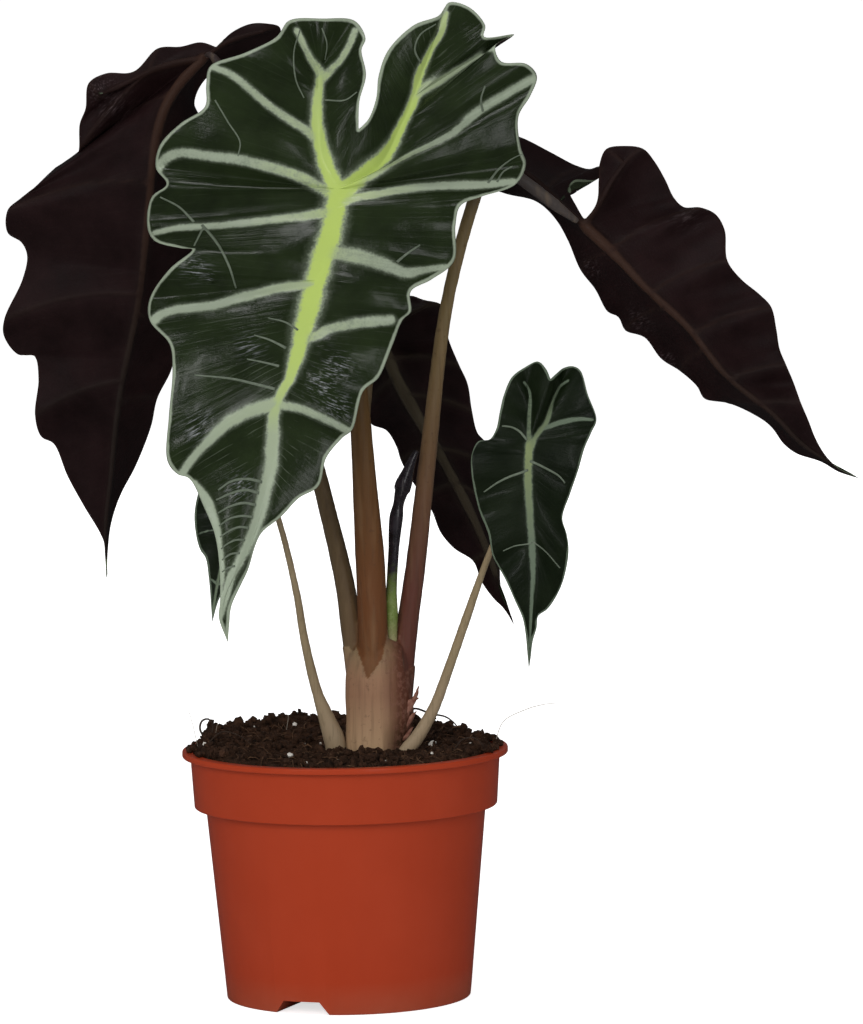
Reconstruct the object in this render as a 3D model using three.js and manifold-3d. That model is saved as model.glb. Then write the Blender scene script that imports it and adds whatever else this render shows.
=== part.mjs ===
// A potted alocasia: a small plant with scalloped arrowhead leaves in a round plastic nursery pot.
// Millimetres, +Z up. The origin is the middle of the pot's base, on the surface it stands on.
// +X is to the right and +Y is away from someone who looks at the largest leaf.
import * as THREE from "three";
import { mergeVertices } from "three/addons/utils/BufferGeometryUtils.js";
import Module from "manifold-3d";

const wasm = await Module();
wasm.setup();

// ---------------------------------------------------------------- driving dimensions
const POT_HEIGHT = 92;
const LIP_RADIUS = 60;
const LIP_HEIGHT = 2.2;
const COLLAR_TOP_RADIUS = 57;
const COLLAR_BOTTOM_RADIUS = 55.8;
const COLLAR_BOTTOM = 71;
const BODY_TOP_RADIUS = 51.6;
const FOOT_RADIUS = 45;
const WALL = 1.4;
const FLOOR = 1.6;
const FOOT_BEVEL = 1.2;
const POT_SIDES = 40;

const DRAINS = 3;
const DRAIN_TURN = 22; // degrees that the first drain stands left of the front
const DRAIN_WIDTH = 21; // at the ground
const DRAIN_ROOF_WIDTH = 14;
const DRAIN_HEIGHT = 4.7;
const DRAIN_INNER_REACH = 20; // from the pot's middle
const DRAIN_HOLE_RADIUS = 3.5;
const DRAIN_HOLE_REACH = 32;
const DRAIN_OVERCUT = 5; // how far a drain's cutting block runs out past the wall

const SOIL_EDGE = 88.5; // height of the soil where it meets the wall
const SOIL_LEVEL = 91; // height of the soil round the stem
const SOIL_HEAP = 6.5; // how much higher it is heaped towards the back and the left
const HEAP_MIDDLE = 0.3; // share of the heap in the middle
const HEAP_TO_BACK = 0.0125; // added share per mm towards the back
const HEAP_TO_LEFT = 0.0075; // added share per mm towards the left
const HEAP_POWER = 1.5; // how late towards the wall the heap rises
const SOIL_RIM_SHARE = 0.98; // the outermost ring stays level against the wall
const SOIL_LUMPS = 0.8;
const SOIL_RINGS = [1, 0.96, 0.87, 0.76, 0.64, 0.52, 0.4, 0.28, 0.14, 0]; // shares of its radius

const BLADE_HALF_THICKNESS = 0.36;
const MIDRIB_DEPTH = 2.2; // how far the midrib stands out beneath, at the leaf stalk
const RIB_DEPTH = 0.9;
const SWELL_BETWEEN_RIBS = 1.4; // share of the puff there; 1 less than this on a rib
const COSTA_SHARE = 0.75; // depth of a back lobe's main rib, as a share of the midrib's
const FULL_RIB_REACH = 30; // a rib or swelling has its whole depth where it is this long
const FULL_WAVE_REACH = 20; // and the margin its whole wave where it is this far out
const GAP = 0.3; // clearance between pieces that touch
const STEM_SIDES = 10;
const TRUNK_SIDES = 18;
const RINGS_PER_POINT = 3; // rings of a stalk for each hand-set point on it
const ACROSS = [0, 0.14, 0.45, 0.75, 1]; // places of a blade's points from midrib to margin

// ---------------------------------------------------------------- colours
const TERRACOTTA = paint(0x9a3f26, 0.45);
const PEAT = paint(0x2a1d16, 0.95);
const STALK = paint(0x6f5238, 0.55);
const OFFSET_STALK = paint(0x8c7a5c, 0.55);
const LEAF_TOP = paint(0x24351f, 0.3);
const LEAF_BENEATH = paint(0x33191f, 0.4);
const NEW_LEAF = paint(0x1c1a18, 0.25);

function paint(color, roughness) {
  return new THREE.MeshStandardMaterial({ color, roughness, metalness: 0 });
}

// ---------------------------------------------------------------- joining and cutting
function solid(geometry) {
  const bare = geometry.clone();
  bare.deleteAttribute("normal");
  bare.deleteAttribute("uv");
  const merged = mergeVertices(bare, 1e-4);
  const mesh = new wasm.Mesh({
    numProp: 3,
    vertProperties: merged.attributes.position.array,
    triVerts: new Uint32Array(merged.index.array),
  });
  return new wasm.Manifold(mesh);
}

function geometryOf(body) {
  const mesh = body.getMesh();
  const geometry = new THREE.BufferGeometry();
  geometry.setAttribute("position", new THREE.BufferAttribute(mesh.vertProperties, 3));
  geometry.setIndex(new THREE.BufferAttribute(mesh.triVerts, 1));
  geometry.computeVertexNormals();
  return geometry;
}

function joined(bodies) {
  return bodies.reduce((whole, body) => whole.add(body));
}

function cut(body, tools) {
  return tools.reduce((rest, tool) => rest.subtract(tool), body);
}

// A cut across the end of a stalk can leave a loose scrap, which is dropped.
function withoutScraps(body) {
  return body.decompose().reduce((most, part) => (part.volume() > most.volume() ? part : most));
}

// ---------------------------------------------------------------- pot and soil
function turned(profile, sides) {
  const points = profile.map(([radius, height]) => new THREE.Vector2(radius, height));
  return new THREE.LatheGeometry(points, sides).rotateX(Math.PI / 2);
}

function innerRadius(height) {
  const slope = (BODY_TOP_RADIUS - FOOT_RADIUS) / COLLAR_BOTTOM;
  return FOOT_RADIUS - WALL + slope * height;
}

function potShell() {
  const lipBottom = POT_HEIGHT - LIP_HEIGHT;
  const shoulder = COLLAR_BOTTOM - WALL;
  const profile = [
    [0, 0],
    [FOOT_RADIUS - FOOT_BEVEL, 0],
    [FOOT_RADIUS, FOOT_BEVEL],
    [BODY_TOP_RADIUS, COLLAR_BOTTOM],
    [COLLAR_BOTTOM_RADIUS, COLLAR_BOTTOM],
    [COLLAR_TOP_RADIUS, lipBottom],
    [LIP_RADIUS, lipBottom],
    [LIP_RADIUS, POT_HEIGHT],
    [COLLAR_TOP_RADIUS - WALL, POT_HEIGHT],
    [COLLAR_BOTTOM_RADIUS - WALL, COLLAR_BOTTOM + WALL],
    [innerRadius(shoulder), shoulder],
    [innerRadius(FLOOR), FLOOR],
    [0, FLOOR],
  ];
  return solid(turned(profile, POT_SIDES));
}

// A drain is a flat-roofed tunnel under the floor, open through the foot of the wall.
function drainBlock(number, growth, innerReach, outerReach) {
  const bottom = DRAIN_WIDTH / 2 + growth;
  const top = DRAIN_ROOF_WIDTH / 2 + growth;
  const outline = new THREE.Shape([
    new THREE.Vector2(-bottom, -WALL),
    new THREE.Vector2(bottom, -WALL),
    new THREE.Vector2(bottom, 0),
    new THREE.Vector2(top, DRAIN_HEIGHT + growth),
    new THREE.Vector2(-top, DRAIN_HEIGHT + growth),
    new THREE.Vector2(-bottom, 0),
  ]);
  const depth = outerReach - innerReach;
  const block = new THREE.ExtrudeGeometry(outline, { depth, bevelEnabled: false });
  block.rotateX(Math.PI / 2);
  block.translate(0, -innerReach, 0);
  block.rotateZ(drainAngle(number));
  return block;
}

function drainAngle(number) {
  return (2 * Math.PI * number) / DRAINS - THREE.MathUtils.degToRad(DRAIN_TURN);
}

function drainHole(number) {
  const length = 4 * DRAIN_HEIGHT;
  const hole = new THREE.CylinderGeometry(DRAIN_HOLE_RADIUS, DRAIN_HOLE_RADIUS, length, 12);
  hole.rotateX(Math.PI / 2);
  hole.translate(0, -DRAIN_HOLE_REACH, 0);
  hole.rotateZ(drainAngle(number));
  return hole;
}

const drainNumbers = Array.from({ length: DRAINS }, (_, number) => number);

// The room that a drain's hood may fill: the pot's inside, let into the wall by a growth.
function insideProfile(growth) {
  const top = 4 * DRAIN_HEIGHT;
  return [[0, 0], [innerRadius(0) + growth, 0], [innerRadius(top) + growth, top], [0, top]];
}

function pot() {
  const inside = solid(turned(insideProfile(WALL / 2), POT_SIDES));
  const hoods = drainNumbers.map((number) =>
    solid(drainBlock(number, WALL, DRAIN_INNER_REACH - WALL, FOOT_RADIUS + DRAIN_OVERCUT)).intersect(inside),
  );
  const tunnels = drainNumbers.map((number) =>
    solid(drainBlock(number, 0, DRAIN_INNER_REACH, FOOT_RADIUS + DRAIN_OVERCUT)),
  );
  const holes = drainNumbers.map((number) => solid(drainHole(number)));
  return cut(cut(joined([potShell(), ...hoods]), tunnels), holes);
}

// Lumps of peat, as a sum of waves that repeat nowhere on the surface.
function soilLumps(x, y) {
  return (
    Math.sin(0.31 * x + 1.3) * Math.cos(0.27 * y) +
    0.7 * Math.sin(0.53 * x - 0.41 * y) +
    0.5 * Math.cos(0.83 * y + 0.19 * x)
  );
}

function soilHeight(x, y, share) {
  if (share > SOIL_RIM_SHARE) {
    return SOIL_EDGE;
  }
  const tilt = HEAP_MIDDLE + HEAP_TO_BACK * y - HEAP_TO_LEFT * x;
  const heaped = THREE.MathUtils.clamp(tilt, 0, 1);
  return SOIL_LEVEL + SOIL_HEAP * heaped * share ** HEAP_POWER + SOIL_LUMPS * soilLumps(x, y);
}

function soilBody() {
  const bottom = FLOOR + GAP;
  const profile = [[0, bottom], [innerRadius(bottom) - GAP, bottom]];
  const shoulder = COLLAR_BOTTOM - WALL;
  profile.push([innerRadius(shoulder) - GAP, shoulder + GAP / 3]);
  profile.push([COLLAR_BOTTOM_RADIUS - WALL - GAP, COLLAR_BOTTOM + WALL + GAP]);
  const edge = COLLAR_TOP_RADIUS - WALL - 2 * GAP;
  for (const share of SOIL_RINGS) {
    profile.push([edge * share, SOIL_EDGE]);
  }
  const body = turned(profile, POT_SIDES);
  const places = body.attributes.position;
  for (let i = 0; i < places.count; i += 1) {
    const onTop = places.getZ(i) > SOIL_EDGE - GAP;
    if (onTop) {
      const x = places.getX(i);
      const y = places.getY(i);
      places.setZ(i, soilHeight(x, y, Math.hypot(x, y) / edge));
    }
  }
  return solid(body);
}

// ---------------------------------------------------------------- stems
// Rings of points along a curve, thick as the radii say, closed at both ends.
function stalk(points, radii, growth, rings) {
  const curve = new THREE.CatmullRomCurve3(points.map((p) => new THREE.Vector3(...p)));
  const frames = curve.computeFrenetFrames(rings, false);
  const places = [];
  for (let ring = 0; ring <= rings; ring += 1) {
    const share = ring / rings;
    const centre = curve.getPointAt(share);
    const radius = between(radii, share) + growth;
    for (let side = 0; side < STEM_SIDES; side += 1) {
      const turn = (2 * Math.PI * side) / STEM_SIDES;
      const place = centre.clone();
      place.addScaledVector(frames.normals[ring], radius * Math.cos(turn));
      place.addScaledVector(frames.binormals[ring], radius * Math.sin(turn));
      places.push(place);
    }
  }
  places.push(curve.getPointAt(0), curve.getPointAt(1));
  return closedTube(places, rings, STEM_SIDES);
}

function closedTube(places, rings, sides) {
  const faces = [];
  for (let side = 0; side < sides; side += 1) {
    const next = (side + 1) % sides;
    for (let ring = 0; ring < rings; ring += 1) {
      const low = ring * sides;
      const high = low + sides;
      faces.push(low + side, low + next, high + next, low + side, high + next, high + side);
    }
    const last = rings * sides;
    faces.push(places.length - 2, next, side);
    faces.push(places.length - 1, last + side, last + next);
  }
  return meshOf(places, faces);
}

function meshOf(places, faces) {
  const geometry = new THREE.BufferGeometry().setFromPoints(places);
  geometry.setIndex(faces);
  return geometry;
}

// The value at a share of a list of values, with straight lines between them.
function between(values, share) {
  const place = share * (values.length - 1);
  const low = Math.min(Math.floor(place), values.length - 2);
  return THREE.MathUtils.lerp(values[low], values[low + 1], place - low);
}

// The sheathed base: oval sections, each [height, middle x, half width, half depth].
const TRUNK_SECTIONS = [
  [74, 11.5, 7.5, 6.5],
  [86, 11.5, 10, 8.5],
  [94, 11.5, 11, 9],
  [102, 12.8, 11.8, 9.5],
  [112, 12.5, 11.8, 9.5],
  [121, 12.5, 11.2, 8.8],
  [128, 12.5, 9.5, 7.5],
  [132, 12.5, 6, 5],
];

function trunk(growth = 0) {
  const places = [];
  for (const [height, middle, halfWidth, halfDepth] of TRUNK_SECTIONS) {
    for (let side = 0; side < TRUNK_SIDES; side += 1) {
      const turn = (2 * Math.PI * side) / TRUNK_SIDES;
      const x = middle + (halfWidth + growth) * Math.cos(turn);
      const y = (halfDepth + growth) * Math.sin(turn);
      places.push(new THREE.Vector3(x, y, height));
    }
  }
  const first = TRUNK_SECTIONS[0];
  const last = TRUNK_SECTIONS[TRUNK_SECTIONS.length - 1];
  places.push(new THREE.Vector3(first[1], 0, first[0] - growth));
  places.push(new THREE.Vector3(last[1], 0, last[0] + growth));
  return solid(closedTube(places, TRUNK_SECTIONS.length - 1, TRUNK_SIDES));
}

const FRONT_STALK = {
  points: [
    [11, -1, 108], [11, -3, 132], [10.5, -6, 159.5], [9, -10, 189], [7.5, -13, 220],
    [5, -16, 255], [2.8, -17, 283], [2, -17.5, 295], [1.5, -20, 300.5], [1, -24, 298.5],
  ],
  radii: [5.2, 5.5, 5.4, 4.4, 3.6, 3.2, 2.9, 2.6],
};
const LEFT_STALK = {
  points: [
    [7.5, 1, 106], [3.5, 2, 131.5], [1, 4, 151.5], [-6.5, 12, 184.5], [-15, 20, 219],
    [-25, 30, 270], [-35.5, 36, 318], [-41, 37.5, 339], [-46, 39, 346.5], [-49, 44, 345],
  ],
  radii: [4.2, 3.8, 3.2, 2.9, 2.6, 2.4, 2.3, 2.2],
};
const RIGHT_STALK = {
  points: [
    [20, 2, 106], [24, 4, 138.5], [27, 5, 158], [32, 7, 197], [40, 10, 254], [50, 12, 290.5],
    [54.5, 13, 301.5], [60, 15, 304.5], [66, 17, 301], [82, 21, 288.5], [91, 26, 281.5],
  ],
  radii: [4.2, 4, 3.6, 3.2, 2.7, 2.4, 2.4, 2.3, 2.3],
};
const BACK_STALK = {
  points: [
    [13.5, 5, 108], [11, 8, 130.5], [10.5, 12, 157.5], [9, 18, 186.5], [8.5, 24, 208],
    [11, 29, 230], [13, 32, 238.5], [15, 38, 239],
  ],
  radii: [3.6, 3.2, 2.9, 2.6, 2.3, 2.2],
};
const NEW_LEAF_STALK = {
  points: [
    [17.5, 0, 117], [17.5, 0, 131.5], [18, -1, 146.5], [19, -2, 161.5], [20.5, -2, 178],
    [22.5, -2, 187], [25.5, -2, 196], [28, -2, 201.5],
  ],
  radii: [2.4, 2.5, 2.8, 2.5, 2.3, 2.9, 2.9, 0.9],
};
const SMALL_LEFT_STALK = {
  points: [
    [-3.5, -1, 80], [-3.5, -3, 93.5], [-6, -5, 102], [-10, -8, 114.5], [-14, -12, 133.5],
    [-16.5, -17, 151.5], [-22.5, -23, 179], [-28, -26, 194], [-33, -28, 199], [-36, -34, 196.5],
  ],
  radii: [3.6, 3.9, 2, 1.6, 1.4, 1.2, 1.1, 1.1, 1.1],
};
const SMALL_RIGHT_STALK = {
  points: [
    [18.5, -12, 78], [21, -12.5, 89.5], [27, -13, 97.5], [33, -14, 108], [38, -16, 121],
    [45, -19, 140.5], [52, -22, 160], [62, -25, 185], [67, -27, 203], [69, -32, 207],
  ],
  radii: [2.6, 2.7, 2, 1.7, 1.6, 1.2, 1.1, 1.1, 1.1],
};

function stem({ points, radii }, growth = 0) {
  return solid(stalk(points, radii, growth, RINGS_PER_POINT * points.length));
}

// ---------------------------------------------------------------- blades
// Every blade is drawn as it looks from the front, half by half. The midrib and the costa, the
// main rib of each back lobe, are lists of [x, y, z]. A half's margin is read from the notch
// between the lobes round to the drip tip: each point is [step, x, z], with 1 added where a rib
// ends there. The step says how far along the costa (for the lobe) or along the midrib (for the
// side) the line to that margin point starts. The margin's depth follows from its distance to
// that foot: slope and roll lean it back, and wave sets rib ends behind the edge between them.
// puff is how far the blade swells up between its ribs.
const FRONT_BLADE = {
  facesFront: true,
  steps: 24,
  costaSteps: 6,
  puff: 2.2,
  notch: [9, -22.5, 320],
  midrib: [
    [1, -24, 298.5], [-3.5, -34, 279], [-9.5, -44, 256], [-19, -56, 228.5],
    [-24, -65, 200.5], [-31.5, -71, 174.5], [-41, -75, 154.5], [-40, -74, 140],
  ],
  left: {
    slope: -0.05, roll: 0.003, wave: 2,
    costa: [[1, -24, 298.5], [-4.5, -21, 309], [-5.5, -17, 321.5], [-5, -10, 341.5]],
    lobe: [
      [2, 9.5, 330], [4, 12, 339.5], [5, 10.5, 348.5], [6, 12, 352.5], [6, 8, 359, 1],
      [6, -3.5, 360], [6, -15.5, 359.5, 1], [5, -20.5, 353.5], [5, -32, 348], [4, -44.5, 343.5, 1],
      [3, -46, 336.5], [2, -46.5, 329], [1, -55.5, 323], [0, -63, 315.5], [0, -65, 307, 1],
    ],
    side: [
      [0, -61, 301], [0, -66.5, 296.5], [1, -68.5, 287.5, 1], [2, -65.5, 281], [3, -56, 278.5],
      [4, -51.5, 278], [5, -59.5, 271.5], [5, -67.5, 260, 1], [6, -67, 252.5], [7, -60, 244.5],
      [8, -59, 235.5], [9, -60.5, 219.5], [11, -61.5, 204, 1], [12, -57.5, 199], [13, -53, 197.5],
      [15, -48, 188], [17, -44, 178], [19, -42.5, 166], [21, -42.5, 155], [23, -43, 149],
      [24, -40, 140],
    ],
  },
  right: {
    slope: -0.03, roll: 0.0026, wave: 2,
    costa: [[1, -24, 298.5], [16, -19, 306], [23.5, -14, 318.5], [30, -9, 333], [37.5, -3, 353]],
    lobe: [
      [1, 12.5, 323.5], [2, 15.5, 331], [3, 16.5, 339], [4, 20, 348], [5, 29.5, 357],
      [6, 39, 360.5], [6, 42.5, 365, 1], [6, 50, 363], [5, 55.5, 356.5], [4, 55, 352.5],
      [4, 66, 353, 1], [3, 59, 349], [3, 61, 343.5], [2, 70, 342.5], [1, 74, 338, 1],
      [1, 71.5, 331], [0, 67, 323.5], [0, 67.5, 313], [0, 69.5, 306, 1],
    ],
    side: [
      [0, 65.5, 299], [1, 53, 295], [1, 45.5, 292], [2, 43.5, 285], [3, 43, 272.5, 1],
      [4, 34.5, 266], [5, 27, 262], [6, 27, 255], [7, 24, 252, 1], [8, 20, 243], [9, 15, 232],
      [10, 9.5, 227.5], [11, 5.5, 214, 1], [12, 1.5, 211], [13, -4, 204.5], [14, -7, 194.5],
      [15, -14, 190.5], [16, -20.5, 184], [17, -27.5, 178.5], [18, -30, 173.5], [19, -32.5, 165.5],
      [20, -35, 160.5], [22, -39.5, 153], [23, -42.5, 148], [24, -40, 140],
    ],
  },
};

const LEFT_BLADE = {
  facesFront: false,
  steps: 24,
  costaSteps: 6,
  puff: 1.8,
  notch: [-43.5, 44.5, 349],
  midrib: [
    [-49, 44, 345], [-59, 40, 334.5], [-66, 39, 319.5], [-70.5, 42, 289], [-74.5, 47, 258],
    [-83.5, 56, 217.5], [-87.5, 62, 187], [-90, 66, 167.5], [-90, 68, 149],
  ],
  left: {
    slope: 0.28, roll: 0, wave: -2,
    costa: [[-49, 44, 345], [-63.5, 46, 342.5], [-78.5, 46, 336], [-88.5, 48, 331.5]],
    lobe: [
      [1, -50, 351], [2, -57.5, 349.5], [3, -66, 349, 1], [4, -75, 340.5], [5, -85.5, 340],
      [6, -92, 336.5, 1], [5, -93.5, 327], [4, -96, 321], [3, -96.5, 311.5, 1], [1, -99.5, 306],
      [0, -106, 304],
    ],
    side: [
      [2, -113, 298, 1], [4, -119, 293.5], [6, -123.5, 289.5, 1], [8, -124, 280.5], [9, -119, 277],
      [10, -117, 272], [10, -119, 263], [11, -126, 248.5, 1], [12, -126.5, 241],
      [13, -121.5, 234.5], [14, -115.5, 234], [14, -114, 225.5], [15, -115.5, 212, 1],
      [16, -113.5, 203], [17, -109, 200.5], [18, -104, 188], [20, -98, 176.5], [22, -92, 166],
      [23, -90, 160], [24, -90, 149],
    ],
  },
  right: {
    slope: 0.95, roll: 0, wave: -1.5,
    costa: [[-49, 44, 345], [-41, 44, 350.5], [-33.5, 46, 353], [-27, 48, 354.5]],
    lobe: [
      [2, -39, 354], [4, -31.5, 357.5], [6, -25, 357.5], [6, -20.5, 356, 1], [4, -22.5, 346.5],
      [2, -36, 339.5], [0, -47, 338.5],
    ],
    side: [
      [1, -53, 328], [2, -47.5, 318], [4, -41, 304.5, 1], [6, -46.5, 289.5], [8, -43.5, 272.5, 1],
      [10, -51, 255.5], [12, -53, 244, 1], [13, -61.5, 235], [14, -64.5, 226.5],
      [16, -69.5, 217, 1], [18, -72.5, 205.5], [20, -78.5, 191], [21, -84.5, 180], [22, -88, 170],
      [23, -89.5, 159.5], [24, -90, 149],
    ],
  },
};

const RIGHT_BLADE = {
  facesFront: false,
  steps: 20,
  costaSteps: 6,
  puff: 1.8,
  notch: [91.5, 27, 283.5],
  midrib: [
    [91, 26, 281.5], [98.5, 22, 274.5], [113, 18, 259], [129, 16, 243.5], [142.5, 16, 226],
    [160, 20, 211], [172, 26, 198.5], [192.5, 34, 185.5],
  ],
  left: {
    slope: 1.5, roll: 0, wave: -1.5,
    costa: [[91, 26, 281.5], [82.5, 30, 289.5], [71.5, 34, 300], [62, 38, 305]],
    lobe: [
      [1, 89, 288], [1, 86, 295], [2, 88, 297.5], [2, 97.5, 297.5], [3, 99, 302, 1],
      [3, 94.5, 301], [4, 89.5, 302.5], [5, 79.5, 308], [6, 69, 313.5], [6, 60, 316, 1],
      [6, 53, 312], [6, 52, 304], [4, 55.5, 296], [3, 63, 292.5], [1, 73, 290.5], [0, 81, 283.5],
    ],
    side: [
      [1, 85.5, 275.5], [2, 90, 264.5, 1], [3, 95.5, 257], [4, 100, 248.5], [5, 104, 246.5],
      [6, 106.5, 241.5, 1], [7, 113.5, 239], [8, 119.5, 231], [9, 126.5, 226.5, 1],
      [10, 132.5, 221], [11, 135.5, 216], [13, 144, 214.5, 1], [14, 152, 211], [15, 159.5, 206],
      [16, 164.5, 199], [17, 169.5, 195], [18, 178.5, 192], [19, 185, 188], [20, 192.5, 185.5],
    ],
  },
  right: {
    slope: 0.3, roll: 0, wave: -2.5,
    costa: [[91, 26, 281.5], [96.5, 28, 289], [102, 30, 298], [106.5, 32, 304]],
    lobe: [
      [2, 96, 289.5], [4, 97, 298], [5, 97.5, 304], [6, 100, 309.5, 1], [6, 107, 310.5],
      [6, 113.5, 309.5, 1], [4, 118, 304.5], [2, 122, 297.5], [0, 125, 291],
    ],
    side: [
      [1, 128.5, 287.5], [2, 134.5, 287.5, 1], [3, 140.5, 284.5], [4, 143.5, 279],
      [5, 144, 268, 1], [6, 149, 261], [7, 156, 255], [8, 160, 250.5, 1], [9, 162, 242],
      [10, 163, 235], [11, 165, 229.5, 1], [12, 168, 222.5], [13, 170.5, 215, 1], [14, 173.5, 208],
      [15, 176, 201.5], [17, 179, 196], [18, 182.5, 191.5], [19, 185.5, 189], [20, 192.5, 185.5],
    ],
  },
};

const BACK_BLADE = {
  facesFront: false,
  steps: 16,
  costaSteps: 4,
  puff: 1.5,
  notch: [13.5, 39, 247.5],
  midrib: [
    [15, 38, 239], [23.5, 34, 220.5], [38, 34, 194.5], [50, 38, 170], [58.5, 44, 146.5],
    [63.5, 48, 131],
  ],
  left: {
    slope: 0.9, roll: 0, wave: -1.5,
    costa: [[15, 38, 239], [8.5, 38, 243.5], [2, 40, 247]],
    lobe: [
      [2, 7, 252], [4, -1, 252], [4, -4.5, 246, 1], [2, -1, 237.5], [0, 3.5, 228.5, 1],
    ],
    side: [
      [1, 8, 221], [2, 10, 214.5, 1], [3, 11, 207.5], [4, 17, 205], [5, 20.5, 199],
      [6, 22, 194, 1], [7, 26, 186], [8, 30.5, 179.5, 1], [9, 33.5, 174], [10, 36.5, 166],
      [11, 41.5, 160], [12, 48.5, 155.5, 1], [13, 51.5, 147.5], [14, 56, 141], [15, 60, 137],
      [16, 63.5, 131],
    ],
  },
  right: {
    slope: 0.8, roll: 0, wave: -1.5,
    costa: [[15, 38, 239], [22.5, 40, 247], [31.5, 42, 251.5]],
    lobe: [
      [1, 19, 253], [3, 26.5, 255.5], [4, 31.5, 254], [4, 38, 252, 1], [2, 39.5, 243.5],
      [0, 41, 237],
    ],
    side: [
      [1, 44.5, 228.5, 1], [2, 47.5, 221.5], [3, 49, 211.5, 1], [4, 51, 203], [5, 54, 199.5],
      [6, 57.5, 189, 1], [7, 57.5, 181], [8, 59, 172.5, 1], [10, 58.5, 163], [12, 58.5, 151, 1],
      [14, 59, 140.5], [15, 61.5, 135.5], [16, 63.5, 131],
    ],
  },
};

const SMALL_LEFT_BLADE = {
  facesFront: true,
  steps: 8,
  costaSteps: 2,
  puff: 1,
  notch: [-34.5, -32.5, 201],
  midrib: [[-36, -34, 196.5], [-39, -38, 182], [-42.5, -42, 166.5], [-45.5, -44, 152], [-46.5, -44, 144]],
  left: {
    slope: 0.2, roll: 0, wave: 1,
    costa: [[-36, -34, 196.5], [-41, -30, 201.5]],
    lobe: [
      [1, -38.5, 206], [2, -43.5, 207, 1], [1, -48, 201], [0, -49.5, 194.5],
    ],
    side: [
      [1, -51.5, 188.5, 1], [2, -52.5, 182], [3, -52, 175, 1], [4, -50.5, 170], [5, -48.5, 167],
      [6, -47.5, 160, 1], [7, -47, 154], [8, -46.5, 144],
    ],
  },
  right: {
    slope: 0.2, roll: 0, wave: 1,
    costa: [[-36, -34, 196.5], [-31, -30, 201.5]],
    lobe: [[1, -30, 205], [2, -25.5, 204, 1], [1, -24.5, 197.5], [0, -26, 192]],
    side: [
      [1, -28, 187, 1], [2, -30, 182], [3, -32.5, 176.5, 1], [4, -35, 170.5], [5, -37.5, 165.5],
      [6, -40.5, 158.5, 1], [7, -44, 152], [8, -46.5, 144],
    ],
  },
};

const SMALL_RIGHT_BLADE = {
  facesFront: true,
  steps: 16,
  costaSteps: 4,
  puff: 1.2,
  notch: [77, -29, 229],
  midrib: [
    [69, -32, 207], [68.5, -36, 193], [69.5, -40, 175.5], [69.5, -42, 157.5], [69, -42, 143],
    [67.5, -40, 125],
  ],
  left: {
    slope: 0.1, roll: 0.002, wave: 1.2,
    costa: [[69, -32, 207], [70, -28, 217], [68.5, -24, 226]],
    lobe: [
      [2, 75.5, 232.5], [4, 72.5, 235], [4, 68, 233, 1], [3, 63, 229.5],
      [2, 60, 223, 1], [1, 58.5, 217.5], [0, 57, 211, 1],
    ],
    side: [
      [0, 54.5, 207.5], [1, 50.5, 207], [1, 48, 202], [2, 48, 194], [3, 49.5, 185.5, 1],
      [4, 51, 180.5], [5, 53.5, 174], [6, 55, 166], [7, 57, 162, 1], [8, 59.5, 157.5],
      [10, 63, 149.5], [12, 65.5, 143.5], [13, 66.5, 137.5], [14, 67, 131], [16, 67.5, 125],
    ],
  },
  right: {
    slope: 0.06, roll: 0.002, wave: 1.2,
    costa: [[69, -32, 207], [73.5, -29, 211.5], [76.5, -26, 218], [80, -23, 225.5]],
    lobe: [
      [2, 79.5, 231], [4, 82, 232.5], [4, 85, 233, 1], [3, 88, 231.5],
      [2, 90.5, 223], [1, 93.5, 214, 1], [0, 91.5, 209.5], [0, 89, 204],
    ],
    side: [
      [1, 86.5, 196], [2, 83.5, 187.5, 1], [3, 80.5, 179], [4, 82, 173], [5, 82.5, 167],
      [6, 80.5, 156.5, 1], [7, 77.5, 150.5], [8, 74.5, 146.5], [10, 71, 144], [12, 70.5, 140],
      [13, 69, 135], [14, 68.3, 130], [16, 67.5, 125],
    ],
  },
};

// The points at equal steps along a line through hand-set points.
function stepped(points, steps) {
  const curve = new THREE.CatmullRomCurve3(points.map((p) => new THREE.Vector3(...p)));
  return Array.from({ length: steps + 1 }, (_, step) => curve.getPointAt(step / steps));
}

// One margin point with its depth, and the foot that its rib or line starts from.
function station([step, x, z, rib = 0], feet, half) {
  const foot = feet[step];
  const reach = Math.hypot(x - foot.x, z - foot.z);
  const wave = (rib ? half.wave : -half.wave) * Math.min(1, reach / FULL_WAVE_REACH);
  const y = foot.y + half.slope * reach + half.roll * reach * reach + wave;
  return { step, feet, rib, margin: new THREE.Vector3(x, y, z) };
}

// A row runs from the midrib or costa out to the margin. Every step has one, so that the two
// halves, and the two sides of a costa, meet in the same points.
function rowsOf(half, notch, costa, midrib) {
  const start = { step: 0, feet: costa, margin: new THREE.Vector3(...notch) };
  const lobe = half.lobe.map((entry) => station(entry, costa, half));
  const side = half.side.map((entry) => station(entry, midrib, half));
  const stations = [start, ...lobe, ...side];
  const outline = new THREE.CatmullRomCurve3(stations.map((s) => s.margin));
  const rows = [];
  stations.forEach((here, index) => {
    rows.push({ foot: here.feet[here.step], margin: here.margin, place: index });
    const next = stations[index + 1];
    const crossing = next && next.feet !== here.feet;
    const from = crossing ? 0 : here.step;
    const count = next ? Math.abs(next.step - from) : 0;
    for (let k = 1; k < count; k += 1) {
      const step = from + k * Math.sign(next.step - from);
      const margin = outline.getPoint((index + k / count) / (stations.length - 1));
      rows.push({ foot: next.feet[step], margin, place: index + k / count });
    }
  });
  return addRibness(rows, stations);
}

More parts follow.
